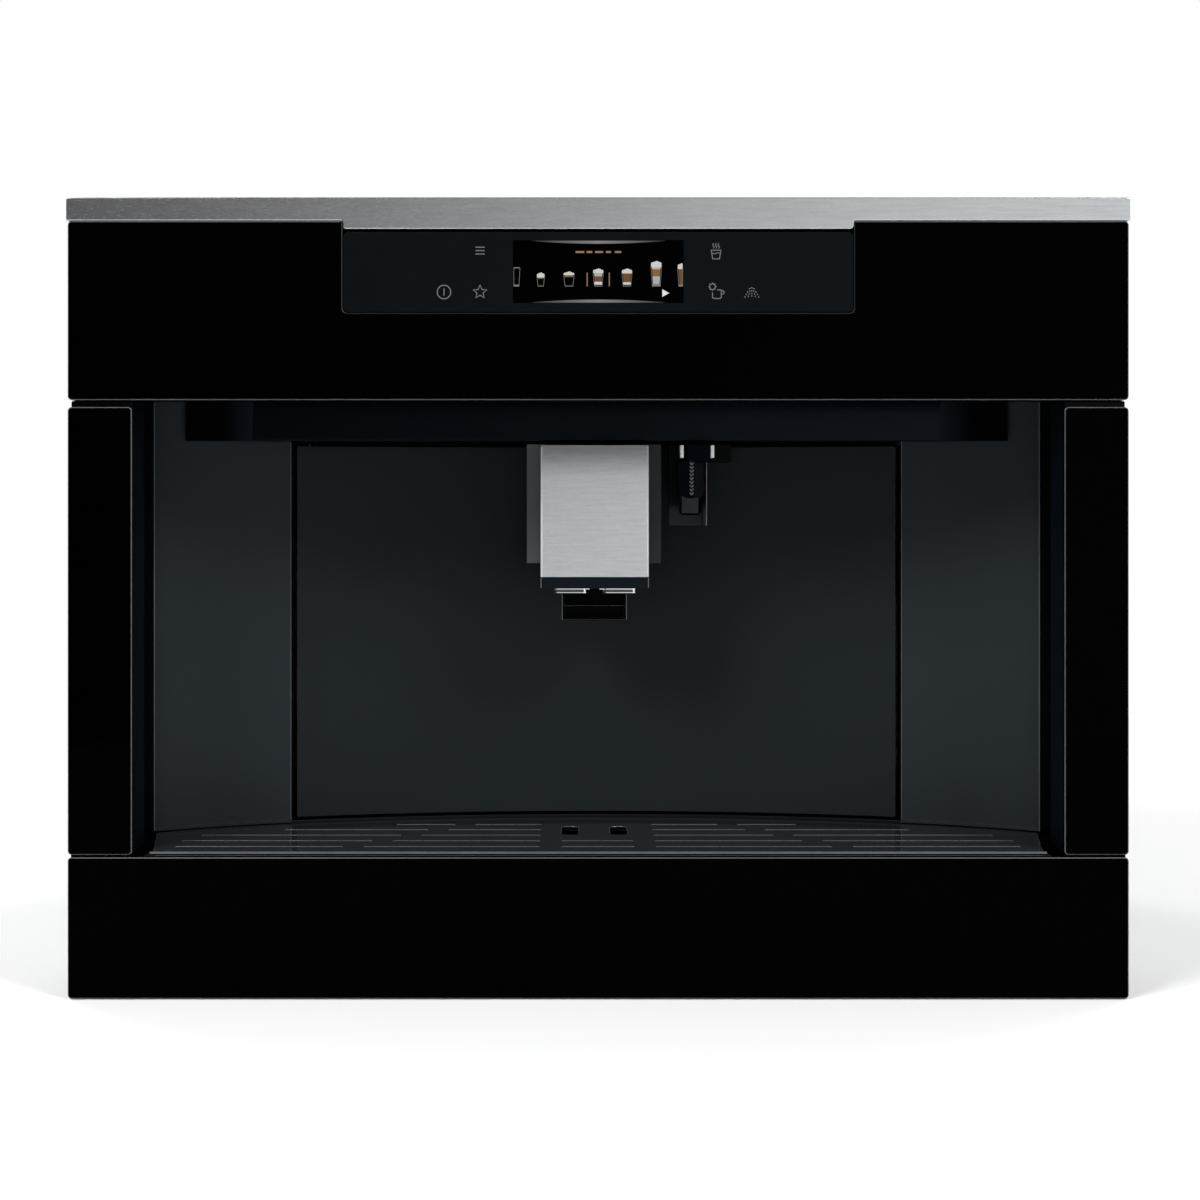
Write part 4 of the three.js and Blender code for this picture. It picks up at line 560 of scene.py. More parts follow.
# Black used as painted shade: the spout's grip and the outlets' bores.
painted_shade_black = finish("painted_shade_black", (0.0002, 0.0003, 0.0005), (0.0005, 0.0007, 0.001),
                    (0.25, 0.35), cloud=20, grain=1500, shine=0.02)
guide_grey = finish("guide_grey", (0.029, 0.032, 0.035), (0.036, 0.039, 0.042),
                    (0.3, 0.4), cloud=20, grain=1500, shine=0.1)
# A lighter copy of guide_grey: painted light on the guide's left, painted highlight on the
# walls' front edges.
guide_painted_light = finish("guide_painted_light", (0.08, 0.084, 0.088), (0.1, 0.104, 0.108),
                     (0.3, 0.4), cloud=20, grain=1500, shine=0.25)
grey_plastic = finish("grey_plastic", (0.05, 0.053, 0.056), (0.065, 0.068, 0.071),
                      (0.4, 0.55), cloud=15, grain=1600, bump=0.1)
tip_grey = finish("tip_grey", (0.028, 0.03, 0.033), (0.036, 0.038, 0.041),
                  (0.35, 0.45), cloud=60, grain=1600, shine=0.1)
water_mid = finish("water_mid", (0.0045, 0.005, 0.0062), (0.006, 0.0066, 0.008),
                   (0.25, 0.35), cloud=60, grain=1600, shine=0.03)
water_dark = finish("water_dark", (0.0008, 0.0011, 0.0024), (0.0013, 0.0017, 0.0034),
                    (0.2, 0.3), cloud=60, grain=1600, shine=0.035,
                    Specular_Tint=(0.45, 0.7, 1, 1))
slate_gloss = finish("slate_gloss", (0.0145, 0.0175, 0.02), (0.018, 0.021, 0.024),
                     (0.05, 0.1), cloud=10, grain=500)
satin_metal = finish("satin_metal", (0.6, 0.61, 0.62), (0.72, 0.73, 0.74), (0.32, 0.42),
                     metallic=1.0, cloud=80, grain=1500)
# Painted highlight for the spout hood's edges.
hood_painted_highlight = finish("hood_painted_highlight", (0.46, 0.47, 0.48), (0.58, 0.59, 0.6), (0.3, 0.4),
                     cloud=80, grain=1500)
lip_metal = finish("lip_metal", (0.08, 0.084, 0.088), (0.115, 0.12, 0.125), (0.3, 0.45),
                   metallic=0.5, cloud=60, grain=900)
slot_rim = finish("slot_rim", (0.11, 0.117, 0.124), (0.18, 0.187, 0.194), (0.25, 0.4),
                  metallic=0.6, cloud=60, grain=900)
sheet_steel = finish("sheet_steel", (0.24, 0.25, 0.26), (0.31, 0.32, 0.33), (0.4, 0.55),
                     metallic=0.55, cloud=70, grain=260, bump=0.05)
screw_steel = finish("screw_steel", (0.4, 0.41, 0.42), (0.5, 0.51, 0.52), (0.25, 0.35),
                     metallic=1.0, cloud=200, grain=1500)
lid_grey = finish("lid_grey", (0.02, 0.022, 0.024), (0.028, 0.03, 0.032), (0.4, 0.52),
                  cloud=15, grain=1800, bump=0.15)
aluminium = finish("aluminium", (0.52, 0.53, 0.54), (0.66, 0.67, 0.68), (0.35, 0.5),
                   metallic=1.0, cloud=50, grain=1200, bump=0.25)
brass = finish("brass", (0.55, 0.4, 0.19), (0.68, 0.52, 0.27), (0.22, 0.38),
               metallic=1.0, cloud=80, grain=1200)
board_green = finish("board_green", (0.012, 0.09, 0.04), (0.02, 0.13, 0.06), (0.3, 0.45),
                     cloud=120, grain=800)
silicone = finish("silicone", (0.62, 0.63, 0.62), (0.72, 0.73, 0.72), (0.4, 0.5),
                  cloud=60, grain=900, Subsurface_Weight=0.1)
lamp_white = finish("lamp_white", (0.75, 0.74, 0.7), (0.82, 0.81, 0.77), (0.45, 0.55),
                    cloud=60, grain=900)
smoke_clear = finish("smoke_clear", (0.5, 0.55, 0.58), (0.56, 0.6, 0.63), (0.04, 0.08),
                     cloud=20, grain=200, Transmission_Weight=0.85, IOR=1.49)

print_grey = lit("print_grey", (0.2, 0.205, 0.21))
screen_white = lit("screen_white", (0.8, 0.8, 0.8))
screen_grey = lit("screen_grey", (0.2, 0.205, 0.21))
screen_dim = lit("screen_dim", (0.045, 0.047, 0.05))
screen_milk = lit("screen_milk", (0.42, 0.42, 0.41))
screen_foam = lit("screen_foam", (0.62, 0.62, 0.61))
screen_crema = lit("screen_crema", (0.24, 0.12, 0.04))
screen_coffee = lit("screen_coffee", (0.16, 0.07, 0.022))
screen_beige = lit("screen_beige", (0.3, 0.18, 0.11))

# ------------------------------------------------------------------------------- front


def front_glasses():
    """Back-painted glasses with a ground edge all round."""
    levels = chamfered(FRONT, FRONT + GLASS_DEPTH, GLASS_CHAMFER, 0.2)
    x0, x1, _, _, z0, z1 = span("upper_glass_panel")
    p0, p1, _, _, panel_foot, _ = span("control_panel")
    n0, n1, notch = p0 - PANEL_ROOM, p1 + PANEL_ROOM, panel_foot - PANEL_ROOM
    points = [(x0, z0), (x1, z0), (x1, z1), (n1, z1), (n1, notch), (n0, notch), (n0, z1),
              (x0, z1)]
    radii = [GLASS_CORNER] * 3 + [GLASS_CHAMFER * 2, PANEL_CORNER, PANEL_CORNER,
                                  GLASS_CHAMFER * 2, GLASS_CORNER]
    near = 2                                              # fainter round the panel's notch
    bm = bmesh.new()
    plate(bm, fillet(points, radii), levels, edge=1)
    # Round the panel's notch the ground edge is painted darker: painted shade in the gap by the
    # panel.
    paint(bm, 2, lambda at, each: each.material_index and abs(at.x) < p1 + near
          and at.z > panel_foot - near)
    piece("upper_glass", bm, [black_glass, ground_edge, notch_painted_shade], "machine",
          ["upper_glass_panel"])
    for node in ("column_glass_left", "column_glass_right", "lower_glass_panel"):
        x0, x1, _, _, z0, z1 = span(node)
        bm = bmesh.new()
        plate(bm, fillet(rect(x0, x1, z0, z1), GLASS_CORNER), levels, edge=1)
        if node == "lower_glass_panel":
            drawer_carrier(bm, x0, x1, z0, z1)
        piece(node.replace("_panel", "") + "_pane", bm,
              [black_glass, ground_edge, black_and_painted_shade], body_of(node), [node])


def drawer_carrier(bm, x0, x1, z0, z1):
    """Plastic the drawer's glass is glued to, its ends raised towards the columns."""
    back = FRONT + GLASS_DEPTH
    margin = 1
    lug_depth = 12
    column_x0, _, _, _, column_foot, _ = span("column_glass_right")
    inner = column_x0 + margin
    raised = column_foot - 0.25
    points = [(x0 + margin, z0 + margin), (x1 - margin, z0 + margin), (x1 - margin, raised),
              (inner, raised), (inner, z1 - margin), (-inner, z1 - margin),
              (-inner, raised), (x0 + margin, raised)]
    plate(bm, points, straight(back, back + 0.28), face=2)
    for a in (x0 + margin, inner):
        block(bm, a, a + x1 - margin - inner, back, back + lug_depth, z1 + 0.1, raised, 0.1,
              face=2)


def top_trim():
    """Folded steel sheet: face with a lip in its middle, top and two ends."""
    x0, x1, y0, y1, lip_foot, top = span("top_trim")
    foot = span("upper_glass_panel")[5] + 0.3
    lip = span("control_panel")[1] + PANEL_ROOM
    points = [(x0, foot), (-lip, foot), (-lip, lip_foot), (lip, lip_foot), (lip, foot),
              (x1, foot), (x1, top), (x0, top)]
    radii = [1.2, 1, 2.6, 2.6, 1, 1.2, 1.7, 1.7]
    bm = bmesh.new()
    plate(bm, fillet(points, radii, 5), rounded(y0, y0 + TRIM_SHEET, SHEET_EDGE, 0.1))
    inner = y0 + TRIM_SHEET / 2
    block(bm, x0, x1, inner, y1, top - TRIM_SHEET, top, 0.3, 1.2)
    for a, b in ((x0, x0 + TRIM_SHEET), (x1 - TRIM_SHEET, x1)):
        block(bm, a, b, inner, y1, foot, top - 0.1, 0.2)
    piece("trim_sheet", bm, [brushed_steel], "machine", ["top_trim"])


def control_panel():
    """Glossy panel with an opening for the display and eight bosses on its back."""
    x0, x1, y0, y1, z0, z1 = span("control_panel")
    d0, d1, _, _, e0, e1 = span("display_module")
    room = 0.3
    back = y0 + GLASS_DEPTH
    bore, boss = 1.2, 3
    bm = bmesh.new()
    plate(bm, fillet(rect(x0, x1, z0, z1), PANEL_CORNER),
          chamfered(y0 + PANEL_RECESS, back, 0.25, 0.2),
          [rect(d0 - room, d1 + room, e0 - room, e1 + room)], edge=1)
    profile = [(bore, back), (boss, back), (boss, y1 - 0.4), (boss - 0.4, y1), (bore, y1)]
    for share in (-0.85, -0.45, 0.45, 0.85):
        for rise in (0.25, 0.75):
            lathe(bm, profile, facing(share * x1, z0 + rise * (z1 - z0)), 16)
    piece("panel_face", bm, [panel_gloss, dark_band], "machine", ["control_panel"])


def star(tips, outer, inner):
    """A closed zigzag round the origin, its first tip at the top."""
    return [((inner if k % 2 else outer) * math.cos(math.pi / 2 + math.pi * k / tips),
             (inner if k % 2 else outer) * math.sin(math.pi / 2 + math.pi * k / tips))
            for k in range(2 * tips)]


def touch_symbols():
    """Printed symbols of the touch keys, each placed from the middle of the panel."""
    _, _, y0, _, z0, z1 = span("control_panel")
    zc = (z0 + z1) / 2
    face = y0 + PANEL_RECESS
    thin, thinner, bold = 0.45, 0.4, 0.5
    bm = bmesh.new()

    def line(points, x, z, closed=False, width=thin):
        stroke(bm, [(x + a, zc + z + b) for a, b in points], width, face - PRINT_DEPTH,
               face + SUNK, closed)

    far_left, left, right, far_right = -86.4, -66.2, 66, 86
    high, low = 12, -11.2
    for rise in (-1.9, 0, 1.9):                                     # menu
        line([(-2.6, rise), (2.6, rise)], left, high, width=bold)
    line(circle(0, 0, 3.8), far_left, low, True, bold)              # standby
    line([(0, -2), (0, 2)], far_left, low, width=bold)
    line(star(5, 4, 1.75), left, low, True)                         # favourite
    line([(-2.7, 0.2), (-1.9, -4.6), (1.9, -4.6), (2.7, 0.2)], right, high, True)
    line([(-2.2, -1.4), (-0.8, -1.8), (0.8, -1.2), (2.2, -1.4)], right, high,
         width=thinner)                                             # hot water
    for shift in (-1.5, 0, 1.5):
        line([(shift, 1.2), (shift + 0.4, 2.1), (shift - 0.4, 3.1), (shift, 4.2)],
             right, high, width=thinner)
    cup = [(-2.6, -0.2), (-2.6, -3.0), (-2.0, -3.6), (1.7, -3.6), (2.3, -3.0), (2.3, 1.2),
           (0, 1.2)]
    handle = [(2.3, 0.6), (3.7, 0.6), (3.9, -0.3), (3.4, -1.1), (2.3, -1.1)]
    for points in (cup, handle):                                    # drink settings
        line(points, right + 0.6, low)
    gear = [(r * math.cos(math.pi * k / 8), r * math.sin(math.pi * k / 8))
            for k, r in enumerate((2.1, 1.4) * 8)]
    line(gear, right - 2, low + 3, True, thinner)
    for row, (rise, reach) in enumerate(((2.4, 1.2), (1.0, 2.2), (-0.5, 3.0), (-1.9, 3.7))):
        count = 3 if row == 0 else 5                                # rinse
        for k in range(count):
            share = 2 * k / (count - 1) - 1
            a, b = share * reach, rise - 0.5 * share ** 2
            ends = ((a - 0.45, b), (a + 0.45, b)) if row == 0 else (
                (a, b), (a + 0.25 * share, b - 0.75))
            line(ends, far_right, low)
    piece("touch_symbols", bm, [print_grey], "machine")


DRINKS = [
    # place from the middle, height, half width at the top and the foot, layers from below
    (-2.85, 11.2, 2.0, 1.5, [(0.0, 0.08, "grey"), (0.9, 0.95, "grey")]),
    (-2.0, 6.8, 2.2, 1.5, [(0.0, 0.1, "dim"), (0.62, 0.72, "crema"), (0.72, 1.0, "foam")]),
    (-1.02, 7.6, 3.0, 2.2, [(0.0, 0.08, "dim"), (0.68, 0.82, "crema"), (0.82, 0.97, "foam")]),
    (0.0, 9.0, 2.9, 2.1, [(0.0, 0.1, "dim"), (0.1, 0.28, "foam"), (0.28, 0.62, "coffee"),
                          (0.62, 0.82, "milk"), (0.82, 1.0, "foam")]),
    (1.0, 9.0, 2.9, 2.1, [(0.0, 0.1, "dim"), (0.1, 0.25, "foam"), (0.25, 0.8, "coffee"),
                          (0.8, 1.0, "foam")]),
    (2.02, 13.2, 3.0, 2.2, [(0.0, 0.1, "grey"), (0.1, 0.42, "milk"), (0.42, 0.72, "crema"),
                            (0.72, 0.8, "milk"), (0.8, 1.0, "foam")]),
    (2.9, 12.0, 2.2, 1.6, [(0.0, 0.08, "grey"), (0.08, 0.8, "coffee"), (0.8, 1.0, "foam")]),
]
TINTS = {"grey": 0, "dim": 1, "milk": 2, "foam": 3, "crema": 4, "coffee": 5}


def drink(bm, x, foot, height, top_half, foot_half, layers, y0, y1, clip):
    """One filled glass on the screen, its layers as flat shapes and a thin outline."""
    brim = 0.9                                            # share of the height it widens to

    def half_at(share):
        return foot_half + (top_half - foot_half) * min(share, brim) / brim

    def held(points):
        return [(min(max(a, clip[0]), clip[1]), b) for a, b in points]

    for low, high, tint in layers:
        wall = 0.5 if tint in ("coffee", "crema", "milk") else 0.1
        b0, b1 = half_at(low) - wall, half_at(high) - wall
        z0, z1 = foot + low * height, foot + high * height
        shape = [(x - b0, z0), (x + b0, z0), (x + b1, z1)]
        if high > 0.96:                                   # foam heaped over the brim
            shape += [(x + 0.5 * b1, z1 + 0.45), (x + 0.1 * b1, z1 + 1),
                      (x - 0.5 * b1, z1 + 0.4)]
        shape = held(shape + [(x - b1, z1)])
        if abs(turning(shape)) > 0.01:
            plate(bm, fillet(shape, 0.3, 2), straight(y0, y1), face=TINTS[tint])
    top = foot + height * 0.92
    wall = [(x - top_half, top), (x - foot_half, foot), (x + foot_half, foot),
            (x + top_half, top)]
    stroke(bm, held(wall), 0.22, y0 - 0.04, y0, face=TINTS["grey"])


def screen():
    """The display's glass and what it shows, as thin lit shapes on it."""
    x0, x1, y0, y1, z0, z1 = span("display_module")
    xc, zc = (x0 + x1) / 2, (z0 + z1) / 2
    bm = bmesh.new()
    plate(bm, fillet(rect(x0, x1, z0, z1), 0.4, 2), chamfered(y0, y1, 0.1))
    piece("screen_glass", bm, [screen_glass], "machine", ["display_module"])

    near, far = y0 - 0.15, y0 + SUNK
    foot = zc - 8.2
    margin = 0.3
    bm = bmesh.new()
    for place, *shape in DRINKS:
        drink(bm, xc + place * SCREEN_PITCH, foot, *shape, near, far,
              (x0 + margin, x1 - margin))
    piece("screen_drinks", bm, [screen_grey, screen_dim, screen_milk, screen_foam,
                                screen_crema, screen_coffee], "machine")

    bm = bmesh.new()
    for mark in (xc - 6.2, xc + 6.2):                               # round the chosen drink
        stroke(bm, [(mark, foot), (mark, foot + 7.6)], 0.6, near, far)
    heading = zc + 11                                               # as plain dots
    for k, wide in enumerate((2.4, 1.6, 2.2, 1.4, 1.8)):
        middle = xc + (-5 + 2.6 * k) * 2.05
        stroke(bm, [(middle - wide, heading), (middle + wide, heading)], 1.1, near, far)
    piece("screen_heading", bm, [screen_beige], "machine")

    bm = bmesh.new()                                                # start, as a plain arrow
    a, b = xc + 37.6, zc - 12
    plate(bm, [(a - 1.7, b - 2.1), (a + 2.1, b), (a - 1.7, b + 2.1)], straight(near, far))
    piece("screen_start", bm, [screen_white], "machine")

    glow = glow_across("screen_glow", xc, 38, 0.17)
    half, bow, steps = 39, 1.7, 24
    bm = bmesh.new()
    for side in (-1, 1):
        edge = zc + side * (z1 - z0) / 2
        shares = [2 * k / steps - 1 for k in range(1, steps)]
        curve = [(xc + share * half, edge - side * bow * (1 - share ** 2)) for share in shares]
        plate(bm, curve + [(xc + half - 1, edge), (xc - half + 1, edge)], straight(near, far))
    piece("screen_edge_glow", bm, [glow], "machine")


# ---------------------------------------------------------------------------- cup space


def cup_space():
    """The walls, the header, the lamp and the handle bars."""

    def black_flange(bm):
        """The flat strip of a side wall outside its curved face is black."""
        paint(bm, 2, lambda at, each: abs(at.x) > WALL_FRONT_HALF + 0.6)

    for side in ("left", "right"):
        dressed(f"handle_bar_{side}", bar_black, 0.8)
        # Side walls in charcoal painted lighter than the door's as painted light, their
        # bevelled edges painted lighter still as a painted highlight.
        dressed(f"side_wall_{side}", [side_charcoal_painted_light, painted_edge_highlight, black_and_painted_shade], 0.5,
                black_flange, edge_face=1)
    dressed("service_door", charcoal, 0.6)
    dressed("header_housing", header_black, 0.8)
    dressed("cup_light", lamp_white, 0.4)
    # The guide is painted lighter left of the spout: painted light.
    dressed("spout_guide", [guide_grey, guide_painted_light], 0.35, painted_light_left)
    header_ends()
    wall_strips()


def painted_light_left(bm):
    """Paints the spout's guide lighter on the left of the spout: painted light falling from the
    left.
    """
    middle = sum(span("spout_cover")[:2]) / 2
    bmesh.ops.bisect_plane(bm, geom=bm.verts[:] + bm.edges[:] + bm.faces[:],
                           plane_co=(middle, 0, 0), plane_no=(1, 0, 0))
    paint(bm, 1, lambda at, each: at.x < middle)


def header_ends():
    """Matt end caps of the header beam, with the beam's bluish sheen painted on at the seam, a
    painted reflection that fades towards the ends.
    """
    seam, end, fade = 205, 245, 18
    look = faded("header_cap_painted_sheen", "X", seam, seam + fade, (0.0078, 0.011, 0.0155),
                 (0.0002, 0.0003, 0.0005), (0.45, 0.6), 0.02)
    face = FRONT + 75
    foot = span("cup_light")[4] - 0.5
    top = span("upper_glass_panel")[4] + 10
    for name, a, b in (("left", -end, -seam), ("right", seam, end)):
        bm = bmesh.new()
        block(bm, a, b, face - 0.35, face + 1, foot, top, 0.15)
        piece(f"header_cap_{name}", bm, [look], "machine")


def wall_strips():
    """Foot of the side walls, painted highlight lines down their front edges, and black strips
    of painted shade behind the door's gaps and along the foot above the grille.
    """
    wall_foot = span("side_wall_left")[4]
    _, half, _, _, door_foot, door_top = span("service_door")
    grille_top = span("cup_grille")[5]
    low = grille_top + 0.6
    seam = half + 3
    bm = bmesh.new()
    for side in (-1, 1):
        wall_strip(bm, 0, 1.2, lambda x: side * x > seam, straight(low, wall_foot + 0.8))
    # A black strip of painted shadow along the foot of the wall and door above the grille.
    wall_strip(bm, 1.5, 2.3, lambda x: True, straight(grille_top - 1.4, door_foot - 0.2),
               face=1)
    piece("wall_foot", bm, [side_charcoal_painted_light, black_and_painted_shade], "machine")

    # Thin painted highlight lines down the walls' front edges.
    front = FRONT + WALL_FRONT
    bm = bmesh.new()
    for side in (-1, 1):
        a, b = sorted((side * (WALL_FRONT_HALF - 0.2), side * (WALL_FRONT_HALF + 0.5)))
        plate(bm, rect(a, b, low, span("header_housing")[5] - 1),
              chamfered(front - 0.12, front + 0.3, 0.08))
    piece("wall_edges", bm, [guide_painted_light], "machine")

    # Black strips of painted shade behind the door's top and side gaps, and one riding on the
    # door in its hinge gap.
    near, far, fine = 4, 4.8, 320
    room = 0.4
    bm = bmesh.new()
    wall_strip(bm, near, far, lambda x: abs(x) < half + 2,
               straight(door_top + room, door_top + 4), fine)
    wall_strip(bm, near, far, lambda x: half + 0.5 < x < half + 10,
               straight(door_foot - 1, door_top + room), fine)
    piece("door_rebate", bm, [black_and_painted_shade], "machine")

    bm = bmesh.new()
    wall_strip(bm, near, far, lambda x: -half - 3.4 < x < -half + room,
               straight(door_foot, door_top - 1), fine)
    piece("door_hinge_strip", bm, [black_and_painted_shade], "door")


def door_ribs():
    """Ribs on the back of the service door."""
    half = 150
    bm = bmesh.new()
    for z in (112, 180, 228):
        wall_strip(bm, 2.5, 7, lambda x: abs(x) < half, rounded(z, z + 2, 0.3), 40)
    spots = [p for p in wall_curve(2.5, 40) if abs(p[0]) < half]
    for x, y in spots[3:22:6]:
        block(bm, x - 1, x + 1, y - 0.5, y + 4.5, 100, 235, 0.3)
    piece("door_ribs", bm, [charcoal], "door")


# ------------------------------------------------------------------------- coffee spout


def lean_back(bm, depth):
    """Bends the top of the spout's front backwards, down to that depth."""
    _, _, y0, _, _, top = span("spout_cover")
    for vert in bm.verts:
        above = vert.co.z - (top - HOOD_BEND_HEIGHT)
        if above > 0 and vert.co.y < y0 + depth:
            vert.co.y += HOOD_RADIUS - math.sqrt(HOOD_RADIUS ** 2 - above ** 2)


def spout_cover():
    """A steel hood: one folded sheet round the front and sides, and a top."""
    x0, x1, y0, y1, z0, z1 = span("spout_cover")
    t, r, steps = 0.9, 1.1, 8
    outer = [(x0, y1), (x0, y0), (x1, y0), (x1, y1)]
    inner = [(x1 - t, y1), (x1 - t, y0 + t), (x0 + t, y0 + t), (x0 + t, y1)]
    sheet = fillet(outer + inner, [0, r, r, 0, 0, r - t, r - t, 0], 5)
    bend = z1 - HOOD_BEND_HEIGHT
    risers = [(bend + (z1 - t - bend) * k / steps, 0) for k in range(steps + 1)]
    bm = bmesh.new()
    plate(bm, sheet, rounded(z0, z1 - t, 0.35, 0)[:-1] + risers, plane="plan")
    plate(bm, fillet(outer, [0, r, r, 0], 5), rounded(z1 - t, z1, 0, 0.6), plane="plan")
    lean_back(bm, 2 * r)
    bm.normal_update()
    narrow = 0.35 * (x1 - x0)
    # The hood's rounded corners and narrow faces are painted light: painted highlight.
    paint(bm, 1, lambda at, each: 0.15 < abs(each.normal.x) < 0.99
          or each.calc_area() < narrow)
    piece("spout_hood", bm, [hood_steel, hood_painted_highlight], "coffee_spout", ["spout_cover"])


def spout_body():
    """Body with its dark band; the grip under it is painted black as shade, with painted
    highlight lines on the band's sides and round the grip.
    """
    x0, x1, y0, _, z0, _ = span("spout_body")
    cover_foot = span("spout_cover")[4]
    band_foot = cover_foot - 7

    def darken(bm):
        lean_back(bm, 5)
        # The grip below the band is painted black: painted shade.
        paint(bm, 2, lambda at, each: at.z < band_foot and each.material_index == 0)

    dressed("spout_body", [dark_band, painted_edge_highlight, painted_shade_black], 0.3, darken, edge_face=1)
    wide, high = 0.5, 0.35
    middle = (x0 + x1) / 2
    g0, g1, grip_front = middle - GRIP_HALF, middle + GRIP_HALF, FRONT + GRIP_DEPTH
    bm = bmesh.new()

    def painted_highlight_line(a, b, foot, top, front, face=0):
        plate(bm, rect(a, b, foot, top), chamfered(front - 0.06, front + 0.3, 0.05), face=face)

    # Thin painted highlight lines on the band's sides and round the grip.
    for a in (x0, x1 - wide):
        painted_highlight_line(a, a + wide, band_foot + 0.7, cover_foot - 0.4, y0)
    for a in (g0, g1 - wide):
        painted_highlight_line(a, a + wide, z0 + 0.2, band_foot, grip_front)
    for z in (z0 + 0.3, z0 + 8.6):
        painted_highlight_line(g0, g1, z, z + high, grip_front, face=1)
    piece("spout_painted_highlights", bm, [painted_edge_highlight, guide_grey], "coffee_spout")


def spout_outlets():
    """Flat chrome rims with a darker waist, each with a small tab towards the middle."""
    waist, top = 1.1, 2.5
    for side, node in ((-1, "nozzle_left"), (1, "nozzle_right")):
        x, y, r, z0, z1 = round_span(node)
        levels = [(z0 + height, by) for height, by in (
            (0, 0.9), (0.15, 0.35), (0.5, 0.02), (1, 0), (1.2, 0.5), (2.3, 0.52), (top, 0.02))]
        deep = 0.72 * r
        bm = bmesh.new()
        plate(bm, fillet(rect(x - r, x + r, y - deep, y + deep), 0.35 * deep, 8),
              levels + [(z1, 0)], plane="plan")
        # A black disc of painted shade stands for the outlet's bore.
        plate(bm, circle(x, y, 0.45 * r, 24), straight(z0 - SUNK, z0 + SUNK), plane="plan",
              face=2)
        a, b = sorted((x, x - side * (r + 1.2)))
        block(bm, a, b, y - deep + 0.2, y, z0 + top, z0 + top + 0.8, 0.1)
        paint(bm, 1, lambda at, each: waist < at.z - z0 < top - 0.15 and abs(at.x - x) < r - 2)
        piece(node + "_rim", bm, [chrome, lip_metal, painted_shade_black], "coffee_spout", [node])


# --------------------------------------------------------------------- hot-water outlet


def hot_water():
    """Bracket with its connector, the top painted black as shade, the outlet's housing, tip and
    woven strip.
    """
    x0, x1, _, _, foot, top = span("hot_water_spout")
    _, bracket_right, _, _, bracket_foot, _ = span("hot_water_bracket")
    # The bracket goes from grey to black towards its top: painted shade under the header.
    bracket = faded("bracket_painted_shade", "Z", bracket_foot + 9, bracket_foot + 14,
                    (0.026, 0.028, 0.03), (0.0003, 0.0005, 0.0009), (0.35, 0.5), 0.05)

    def painted_highlight_corner(bm):
        """A painted highlight line down the bracket's right front corner."""
        bm.normal_update()
        paint(bm, 1, lambda at, each: 14 < bracket_right - at.x < 15.3
              and 0.2 < abs(each.normal.x) < 0.98 and each.normal.y < -0.2)

    dressed("hot_water_bracket", [bracket, satin_metal], 0.3, painted_highlight_corner, edge_face=0)
    middle = (x0 + x1) / 2
    pill_front, pill_foot, pill_top = FRONT + 83, foot + 8.9, top - 10.5
    dressed("hot_water_spout", [tip_grey, water_dark], 0.4,
            lambda bm: paint(bm, 1, lambda at, each: at.z > pill_foot))

    # The recess round the tip is a flat black plate: painted shade standing for its depth.
    half, cut = 6.6, 1.8                                  # chamfered recess round the tip
    recess_foot, recess_top = bracket_foot + 6.2, bracket_foot + 15
    recess = [(middle - half + cut, recess_foot), (middle + half - cut, recess_foot),
              (middle + half, recess_foot + cut), (middle + half, recess_top),
              (middle - half, recess_top), (middle - half, recess_foot + cut)]
    plate_front = FRONT + 96
    bm = bmesh.new()
    plate(bm, recess, straight(plate_front - 0.05, plate_front + 0.05))
    piece("water_recess", bm, [black_and_painted_shade], "door")

    bm = bmesh.new()                                      # lighter half shell of the housing
    shell = rect(middle + 1.2, middle + 7.1, pill_foot + 0.4, pill_top)
    plate(bm, fillet(shell, [0, 6.4, 0, 0], 6),
          rounded(pill_front - 0.4, pill_front + 0.5, 0.25, 0))
    piece("water_shell", bm, [water_mid], "water_spout")

    weave, pitch, wide, high = 9, 2.25, 1.1, 1.3          # woven strip
    bm = bmesh.new()
    for k in range(weave):
        z = pill_foot + 2.2 + k * pitch
        stroke(bm, [(middle - wide, z + high), (middle, z), (middle + wide, z + high)], 0.7,
               pill_front - 0.9, pill_front - 0.2)
    piece("water_strip", bm, [slot_rim], "water_spout")
    for side in ("left", "right"):
        dressed(f"release_button_{side}", satin_metal, 0.3)


# ------------------------------------------------------------------------------- grille


